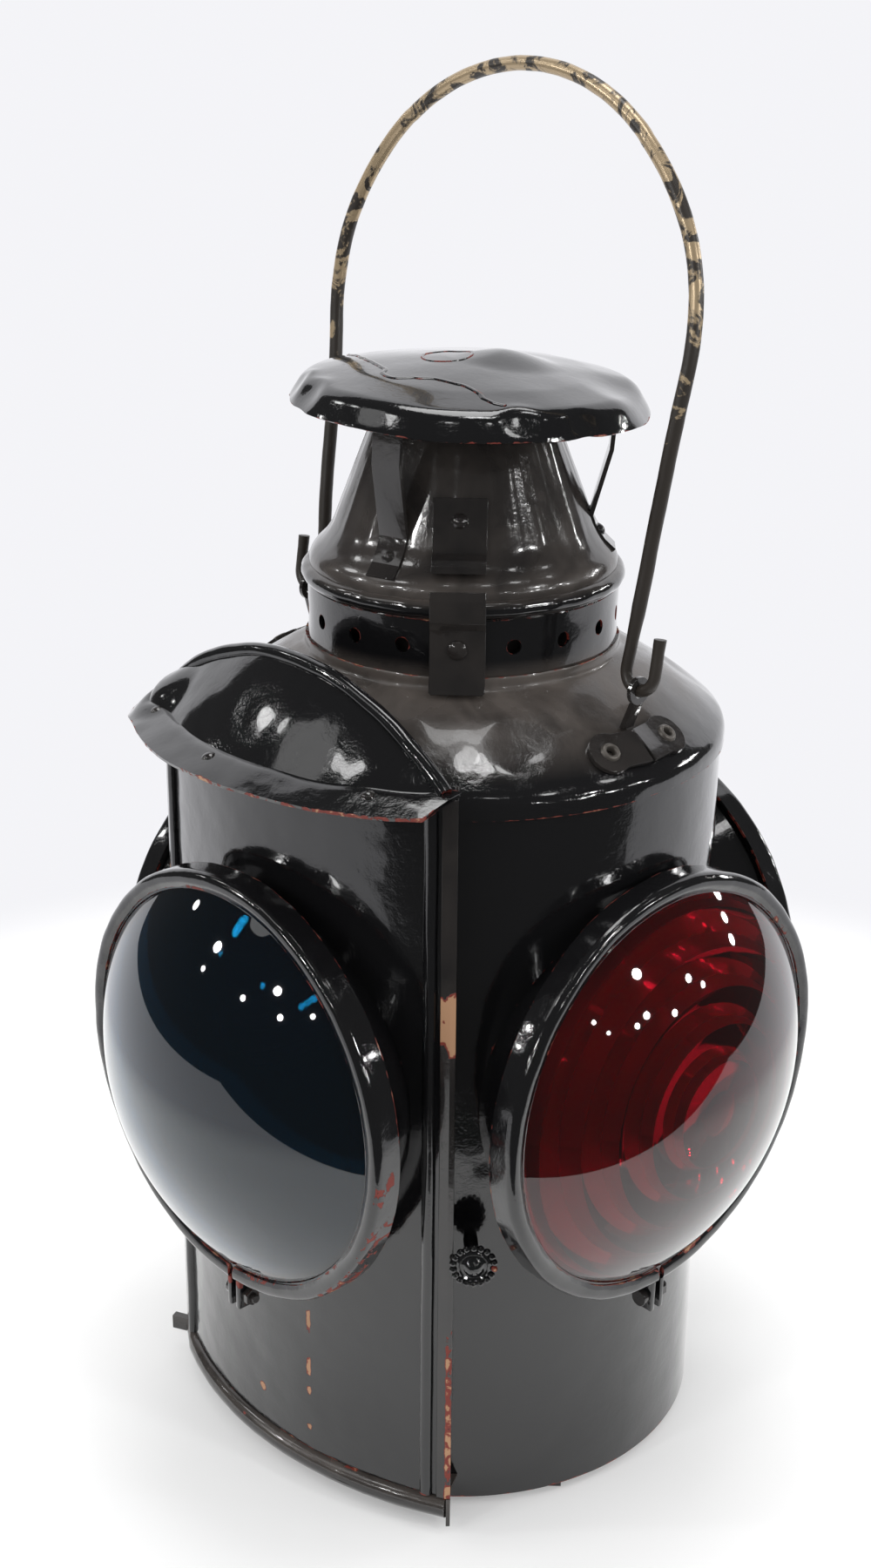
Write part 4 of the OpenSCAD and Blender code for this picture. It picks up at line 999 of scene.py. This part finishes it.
# %% Hood
HOOD_Z = 276.2
HOOD_BACK = 75.0
HOOD_C = 77.2
HOOD_BALL = 129.6
HOOD_FRONT = -114.9
HOOD_WIRE, HOOD_ARC = 2.6, 103.6
BRIM_LINE = [(97.5, 0), (101.0, 0), (112.0, -4.0)]
DOME_DENTS = [
    ((-22, -108, 290), 17, (1.5, 4.2, -2.4)), ((-36, -101, 291), 11, (-0.6, -1.6, 1.0)),
    ((10, -112, 287), 12, (0, 1.2, -0.6)), ((-12, -122, 281), 9, (0, 1.8, -0.2)),
]
CORNER_DENTS = [((-60, -85, 282), 17, (-5.0, -5.5, 1.0)), ((-71, -80, 277), 15, (1.5, 1.0, 4.0))]


def cut(shape, point, normal):
    """Cuts a shape with a plane and drops what lies on the side that the normal points to."""
    parts = shape.verts[:] + shape.edges[:] + shape.faces[:]
    bmesh.ops.bisect_plane(shape, geom=parts, plane_co=point, plane_no=normal, clear_outer=True, dist=0.001)


def trim(shape, side, back):
    """Cuts a spun brim off at both sides and behind, and closes it there."""
    cut(shape, (side, 0, 0), (1, 0, 0))
    cut(shape, (-side, 0, 0), (-1, 0, 0))
    cut(shape, (0, back, 0), (0, 1, 0))
    close_holes(shape)


def dome_shape():
    shape = bmesh.new()
    bmesh.ops.create_uvsphere(shape, u_segments=360, v_segments=240, radius=HOOD_BALL)
    bmesh.ops.rotate(shape, verts=shape.verts, cent=(0, 0, 0), matrix=Matrix.Rotation(math.pi / 2, 3, "Y"))
    cut(shape, (0, -HOOD_C, 0), (0, 1, 0))
    cut(shape, (0, 0, HOOD_C - 0.6), (0, 0, -1))
    thicken(shape)
    shift(shape, 0, HOOD_C - HOOD_BACK, HOOD_Z - HOOD_C)
    return shape


def brim_shape():
    outline = doubled(along(eased(BRIM_LINE, 2.0, 4), 1.2), 1.2)
    shape = lathe(outline, 110, closed=True, turn=math.radians(100), start=math.radians(-140))
    shift(shape, 0, -3.0, HOOD_Z)
    trim(shape, 73, -71)
    face_out(shape)
    return shape


def hood_shape():
    shape = dome_shape()
    dents(shape, DOME_DENTS)
    joined(shape, brim_shape())
    dents(shape, CORNER_DENTS)
    half = math.asin(69.97 / 104.2)
    arc = []
    for part in range(101):
        lean = half * (part / 50 - 1)
        up = HOOD_Z - HOOD_C + HOOD_ARC * math.cos(lean)
        arc.append(Vector((HOOD_ARC * math.sin(lean), -HOOD_BACK, up)))
    joined(shape, sweep(arc, HOOD_WIRE, 16))
    waver(shape, 22, 0.7, 21, (0.4, 0.6, 1))
    waver(shape, 7, 0.14, 22)
    for dot in shape.verts:
        bent = clamp((-dot.co.x - 52) / 20)
        dot.co.z -= 3.0 * bent * bent
        dot.co.y = max(dot.co.y, HOOD_FRONT)
    mark_edges(shape, 1.8)
    return shape


new_piece("door_hood_sheet", hood_shape(), FINISHES["black_paint"], ["door_hood"])

# %% [markdown]
# ## The door
# The door is a sheet with a shallow curve in plan and a round hole for its lens. A flat grid is cut out
# around the hole, the ragged edge is drawn on to the circle, and then the sheet is bent. Two half-round
# beads stiffen its upright edges.

# %% Door
DOOR_R = 150.0
DOOR_CY = 58.4
DOOR_HALF = 70.9
DOOR_LOW, DOOR_HIGH = 14.3, 274.2
BEAD_X, BEAD_WIRE, BEAD_LONG = 65.47, 2.4, 256
FLANGE_LINE = [(82, 0), (101, 0), (108, -2.5), (108, -3.5), (101, -1), (82, -1)]
CREASE_X, CREASE_LOW, CREASE_HIGH = 19.6, 26, 84
LONE_CHIPS = ((-5.5, 28, 3.4), (19.4, 23.6, 2.6))


def cone_radius(out, front):
    """Radius of a lens collar's cone, at a distance out from the lamp's axis."""
    return 71.9 - 0.6 * (front - 8.6 - out)


def hole_edge(turn, wall, front):
    """Distance from the lens axis, in a direction, at which a wall meets the cone of the lens collar."""
    reach = 66.0
    for _ in range(14):
        reach = cone_radius(wall(reach * math.cos(turn)), front)
    return reach


def on_door(across, up, out=0.0):
    """A point of the curved door from its distance across and up, and out from its face."""
    lean = across / DOOR_R
    reach = DOOR_R + out
    return Vector((math.sin(lean) * reach, DOOR_CY - math.cos(lean) * reach, up))


def door_wall(across):
    """How far the door's face stands out, at a distance across from its middle."""
    return math.sqrt(DOOR_R ** 2 - across ** 2) - DOOR_CY


def cut_round(shape, middle, bend_r, wall, front):
    """Cuts a lens hole out of a flat grid that is bent later, and draws its ragged edge on to the cone."""
    def seen(dot):
        across = bend_r * math.sin((dot.x - middle) / bend_r)
        return across, dot.y - LENS_Z

    near = [face for face in shape.faces if abs(face.calc_center_median().x - middle) < 90]
    gone = []
    for face in near:
        across, up = seen(face.calc_center_median())
        if math.hypot(across, up) < hole_edge(math.atan2(up, across), wall, front):
            gone.append(face)
    rim = {dot for face in gone for dot in face.verts}
    bmesh.ops.delete(shape, geom=gone, context="FACES")
    for dot in rim:
        if dot.is_valid:
            across, up = seen(dot.co)
            turn = math.atan2(up, across)
            reach = hole_edge(turn, wall, front)
            dot.co.x = middle + bend_r * math.asin(reach * math.cos(turn) / bend_r)
            dot.co.y = LENS_Z + reach * math.sin(turn)


def door_shape():
    width = 2 * DOOR_R * math.asin(DOOR_HALF / DOOR_R)
    shape = flat_sheet(110, 190, 0.0, width, DOOR_LOW, DOOR_HIGH)
    cut_round(shape, 0.0, DOOR_R, door_wall, FRONTS[-90])
    for dot in shape.verts:
        dot.co = on_door(dot.co.x, dot.co.y)
    thicken(shape)
    return shape


def chip_line(at):
    """Wear along an upright crease in the lower door, where the paint has flaked in spots."""
    lone = 2.0 * max(0.0, *(1 - math.hypot(at.x - x, at.z - z) / reach for x, z, reach in LONE_CHIPS))
    if at.z < CREASE_LOW:
        return lone
    crease = max(0.0, 1 - abs(at.x - CREASE_X) / 2.2)
    spots = noise.noise(Vector((0.3, 0.4, at.z / 5 + 3.1))) * 4.0 + 1.1
    return max(crease * clamp(spots, 0.0, 2.0), lone)


def door_piece():
    shape = door_shape()
    edge = DOOR_R * math.asin(BEAD_X / DOOR_R)
    for side in (-1, 1):
        path = [on_door(side * edge, DOOR_LOW + BEAD_LONG * part / 110 + 0.2, -0.2) for part in range(111)]
        joined(shape, sweep(path, BEAD_WIRE, 16))
    flange = lathe(FLANGE_LINE, 80, closed=True, turn=1.46, start=-2.3)
    shift(flange, 0, -3, HOOD_Z - 1.3)
    trim(flange, 67, -80.5)
    joined(shape, flange)
    waver(shape, 32, 0.7, 31, (0.1, 0.7, 0))
    waver(shape, 8, 0.1, 32, (0.3, 1, 0.3))
    mark_edges(shape, 1.6)
    worn = shape.verts.layers.float["wear"]
    for dot in shape.verts:
        if dot.co.z < CREASE_HIGH:
            dot[worn] = max(dot[worn], chip_line(dot.co))
    return shape


new_piece("door_sheet", door_piece(), FINISHES["black_paint"], ["door_panel"])

# %% [markdown]
# ## The body
# The body is a tube with three round holes, so its sheet is made as the door's was: a flat grid with the
# ragged edge drawn on to each hole, bent round into a tube. The wide window behind the door stays open.

# %% Body
BODY_R = 90.0
BODY_LOW, BODY_HIGH = 4.0, 266.3
WINDOW_HALF, WINDOW_LOW, WINDOW_HIGH = 52, 28, 248


def body_wall(across):
    """How far the body's wall stands out at a distance across from a lens axis."""
    return math.sqrt(BODY_R ** 2 - across ** 2)


def body_shape():
    girth = math.tau * BODY_R
    shape = flat_sheet(240, 110, girth / 8, girth, BODY_LOW, BODY_HIGH)
    edge = BODY_R * math.asin(WINDOW_HALF / BODY_R)
    window = []
    for face in shape.faces:
        across, up = face.calc_center_median().xy
        if abs(across) < edge and WINDOW_LOW < up < WINDOW_HIGH:
            window.append(face)
    bmesh.ops.delete(shape, geom=window, context="FACES")
    for quarters in (-1, 1, 2):
        cut_round(shape, quarters * girth / 4, BODY_R, body_wall, FRONTS[0])
    for dot in shape.verts:
        around = dot.co.x / BODY_R
        dot.co = Vector((BODY_R * math.sin(around), -BODY_R * math.cos(around), dot.co.y))
    bmesh.ops.remove_doubles(shape, verts=shape.verts, dist=0.01)
    thicken(shape)
    waver(shape, 40, 0.5, 41, (0.7, 0.7, 0))
    waver(shape, 9, 0.1, 42, (1, 1, 0))
    mark_edges(shape, 1.5)
    return shape


new_piece("body_sheet", body_shape(), FINISHES["black_paint"], ["body_shell"])

# %% [markdown]
# ## The bail
# The bail is one bent wire with a hook at each end. Its path is worked out from two circles and their
# common tangent, made a little uneven, and swept with a circle.

# %% Bail
PIVOT_X, PIVOT_Z = 80.7, 295.0
HOOK_R, HOOK_END = 6.0, 12.0
ARCH_R = 82.5
ARCH_Z = 188.8 - ARCH_R
WIRE_R, HOOK_WIRE_R = 2.4, 2.0
BAIL_LEAN = math.radians(-8.5)


def bail_path():
    drop = ARCH_Z - HOOK_R
    lean = math.atan2(drop, PIVOT_X) - math.acos((ARCH_R + HOOK_R) / math.hypot(PIVOT_X, drop))
    half = [Vector((0, 0, ARCH_Z + ARCH_R))]
    for part in range(1, 61):
        turn = math.pi / 2 - (math.pi / 2 + lean) * part / 60
        half.append(Vector((math.cos(turn) * ARCH_R, 0, ARCH_Z + math.sin(turn) * ARCH_R)))
    hook = []
    for part in range(25):
        turn = math.pi - lean + (math.pi + lean) * part / 24
        hook.append(Vector((PIVOT_X + math.cos(turn) * HOOK_R, 0, HOOK_R + math.sin(turn) * HOOK_R)))
    straight = along([half[-1], hook[0]], 3.0)[1:-1]
    tip = along([hook[-1], hook[-1] + Vector((0, 0, HOOK_END))], 2.0)[1:]
    right = half + straight + hook + tip
    left = [Vector((-point.x, point.y, point.z)) for point in right[1:]]
    return left[::-1] + right


def bail_shape():
    path = bail_path()
    for point in path:
        free = clamp((point.z - 22) / 30) * (1.0 if point.z < 170 else 0.4)
        wave = noise.noise_vector(point / 55 + Vector((3, 7, 1)))
        point += Vector((wave.x, wave.y * 1.4, wave.z * 0.3)) * 1.5 * free
    shape = sweep(path, HOOK_WIRE_R, 18)
    shape.normal_update()
    for dot in shape.verts:
        dot.co += dot.normal * (WIRE_R - HOOK_WIRE_R) * clamp((dot.co.z - 14) / 12)
    waver(shape, 5, 0.1, 51)
    mark(shape, "wear", lambda at: 0.12 + 0.4 * clamp((at.z - 20) / 130))
    moved(shape, Matrix.Translation((0, 0, PIVOT_Z)) @ Matrix.Rotation(BAIL_LEAN, 4, "X"))
    return shape


new_piece("bail_wire", bail_shape(), FINISHES["worn_wire"], ["bail"])

# %% [markdown]
# ## Tubular rivets
# The ears are held by tubular rivets: their rolled lips stand up as pale rings around dark holes. One lip
# is spun from a line and set on each lobe of the two ears.

# %% Ear rivets
LOBE_R = PIVOT_X + 1.3
LOBE_TURN = 9.4
LOBE_LEAN = math.atan(0.458 + 2 * 0.00569 * (LOBE_R - NECK_R))
LIP_LINE = [(1.5, 0.5), (1.5, 2.2), (2.2, 2.9), (3.1, 2.6), (3.5, 1.6), (3.6, 1.0), (2.4, 1.0), (2.4, 0.1)]


def ear_rivets_shape():
    shape = bmesh.new()
    lip = eased(LIP_LINE, 0.4, 3)
    for side in (0, 180):
        for lobe in (-1, 1):
            rivet = lathe(lip + [Vector((0, 0.1)), Vector((0, 0.5))], 28)
            waver(rivet, 2.0, 0.12, side / 45 + lobe)
            place = round_z(side + lobe * LOBE_TURN) @ Matrix.Translation((LOBE_R, 0, shoulder_z(LOBE_R)))
            joined(shape, moved(rivet, place @ Matrix.Rotation(LOBE_LEAN, 4, "Y")))
    mark_edges(shape, 0.5)
    mark(shape, "dust", lambda at: 0.7)
    return shape


new_piece("ear_rivet_lips", ear_rivets_shape(), FINISHES["rubbed_steel"], ["ear_rivets"], 50)

# %% [markdown]
# ## The knob
# The knob beside the door is a small turned disc with a ring of beads and a raised boss. The disc is a spun
# line. The beads are balls set round it, because a pattern in the material would have no outline.

# %% Knob
KNOB_AZ, KNOB_Z = -41.0, 110.0
KNOB_FACE = 104.5
STEM_END = -17.3
BEADS, BEAD_R, BEAD_RING = 18, 1.25, 6.9
KNOB_LINE = [
    (0.0, 3.9), (1.4, 3.7), (2.6, 2.9), (3.3, 1.9), (4.4, 1.6), (5.0, 2.1), (5.6, 1.7), (6.6, 1.2),
    (6.9, 0.2), (6.9, -0.1), (2.5, -0.1), (2.5, STEM_END + 2.4), (4.0, STEM_END + 2.4),
    (4.0, STEM_END), (0.0, STEM_END),
]


def knob_shape():
    shape = lathe(KNOB_LINE, 48)
    for number in range(BEADS):
        ball = bmesh.new()
        bmesh.ops.create_icosphere(ball, subdivisions=2, radius=BEAD_R)
        turn = math.tau * number / BEADS
        shift(ball, BEAD_RING * math.cos(turn), BEAD_RING * math.sin(turn), 1.2)
        joined(shape, ball)
    dent(shape, (1.2, 0.2, 3.6), 0.9, (0, 0, -0.8))
    dent(shape, (-1.2, -0.2, 3.6), 0.9, (0, 0, -0.8))
    waver(shape, 2.5, 0.18, 81)
    mark(shape, "wear", lambda at: max(0.0, 1 - math.hypot(at.x - 1, at.y - 7) / 3.2) * 1.5)
    shift(shape, 0, 0, KNOB_FACE)
    turned = Matrix.Translation((0, 0, KNOB_Z)) @ Matrix.Rotation(math.pi / 2, 4, "Y")
    return moved(shape, round_z(KNOB_AZ) @ turned)


new_piece("lock_knob_beads", knob_shape(), FINISHES["black_paint"], ["lock_knob"], 50)

# %% [markdown]
# ## Small pieces
# Rivets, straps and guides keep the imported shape. A copy of each mesh is merged, its flat faces are
# joined again, and a narrow bevel takes the hardness off its edges, as paint does.

# %% Small pieces
SILL_R = DOOR_R - 0.8
SILL_TOP = DOOR_LOW - 0.3
SOFT_BEND = 30


def leaned(at):
    """The upper ends of the straps follow the hat, which has slipped."""
    return at.lerp(hat_place(at), clamp((at.z - 350) / 20))


def thicker_bead(at):
    """The bead along the sill is bulkier than its plain section, and hangs lower."""
    middle = Vector((0, DOOR_CY, at.z))
    reach = (at - middle).length
    if reach < SILL_R - 3.05 or at.x < 4 - DOOR_HALF:
        return at
    wider = SILL_R + (reach - SILL_R) * 1.35
    spot = middle + (at - middle) * (wider / reach)
    return Vector((spot.x, spot.y, SILL_TOP + (at.z - SILL_TOP) * 1.4))


def sill_dust(at):
    return 0.25 + 0.75 * clamp((at.z - 10.5) / 2)


def sill_wear(at):
    spots = noise.noise(at / 4.0) * 3.2 - 0.2
    return clamp(spots) * clamp((at.z - 9.5) / 1.5)


def softened(node, width, wave=0.15, finish="black_paint", reshape=None, dust=None, wear=None):
    """A copy of a node's mesh with merged faces, a slow wave and a narrow bevel."""
    shape = bmesh.new()
    shape.from_mesh(frame["nodes"][node].data)
    bmesh.ops.scale(shape, verts=shape.verts, vec=(1 / MM, 1 / MM, 1 / MM))
    bmesh.ops.remove_doubles(shape, verts=shape.verts, dist=0.002)
    bmesh.ops.dissolve_limit(
        shape, angle_limit=math.radians(2), verts=shape.verts, edges=shape.edges,
        use_dissolve_boundaries=False,
    )
    face_out(shape)
    if reshape:
        for dot in shape.verts:
            dot.co = reshape(dot.co)
    waver(shape, 6, wave, 60 + len(node))
    mark(shape, "dust", dust or (lambda at: 0.25))
    if wear:
        mark(shape, "wear", wear)
    piece = new_piece(node + "_soft", shape, FINISHES[finish], [node], SOFT_BEND)
    bevel = piece.modifiers.new("soft_edges", "BEVEL")
    bevel.width = width * MM
    bevel.segments = 2
    bevel.limit_method = "ANGLE"
    bevel.angle_limit = math.radians(SOFT_BEND)
    bevel.use_clamp_overlap = True


for node in ("door_guide_right", "door_guide_left"):
    softened(node, 0.25, finish="ridge_paint")
softened("hat_straps", 0.3, reshape=leaned)
softened("door_sill", 0.3, reshape=thicker_bead, dust=sill_dust, wear=sill_wear)
softened("base_bars", 0.3, wave=0.0)
for node in ("hasp_plate", "latch_strip"):
    softened(node, 0.3)
for node in ("ear_right", "ear_left", "chimney_hinge_leaf", "chimney_hinge_strap"):
    softened(node, 0.2, wave=0.03)
RIVETS = ("hood_rivets", "strap_rivets", "latch_rivet")
BOLTS = ("clamp_bolts", "clamp_nuts", "door_clamp_bolt", "door_clamp_nut")
for node in RIVETS + BOLTS:
    softened(node, 0.2)
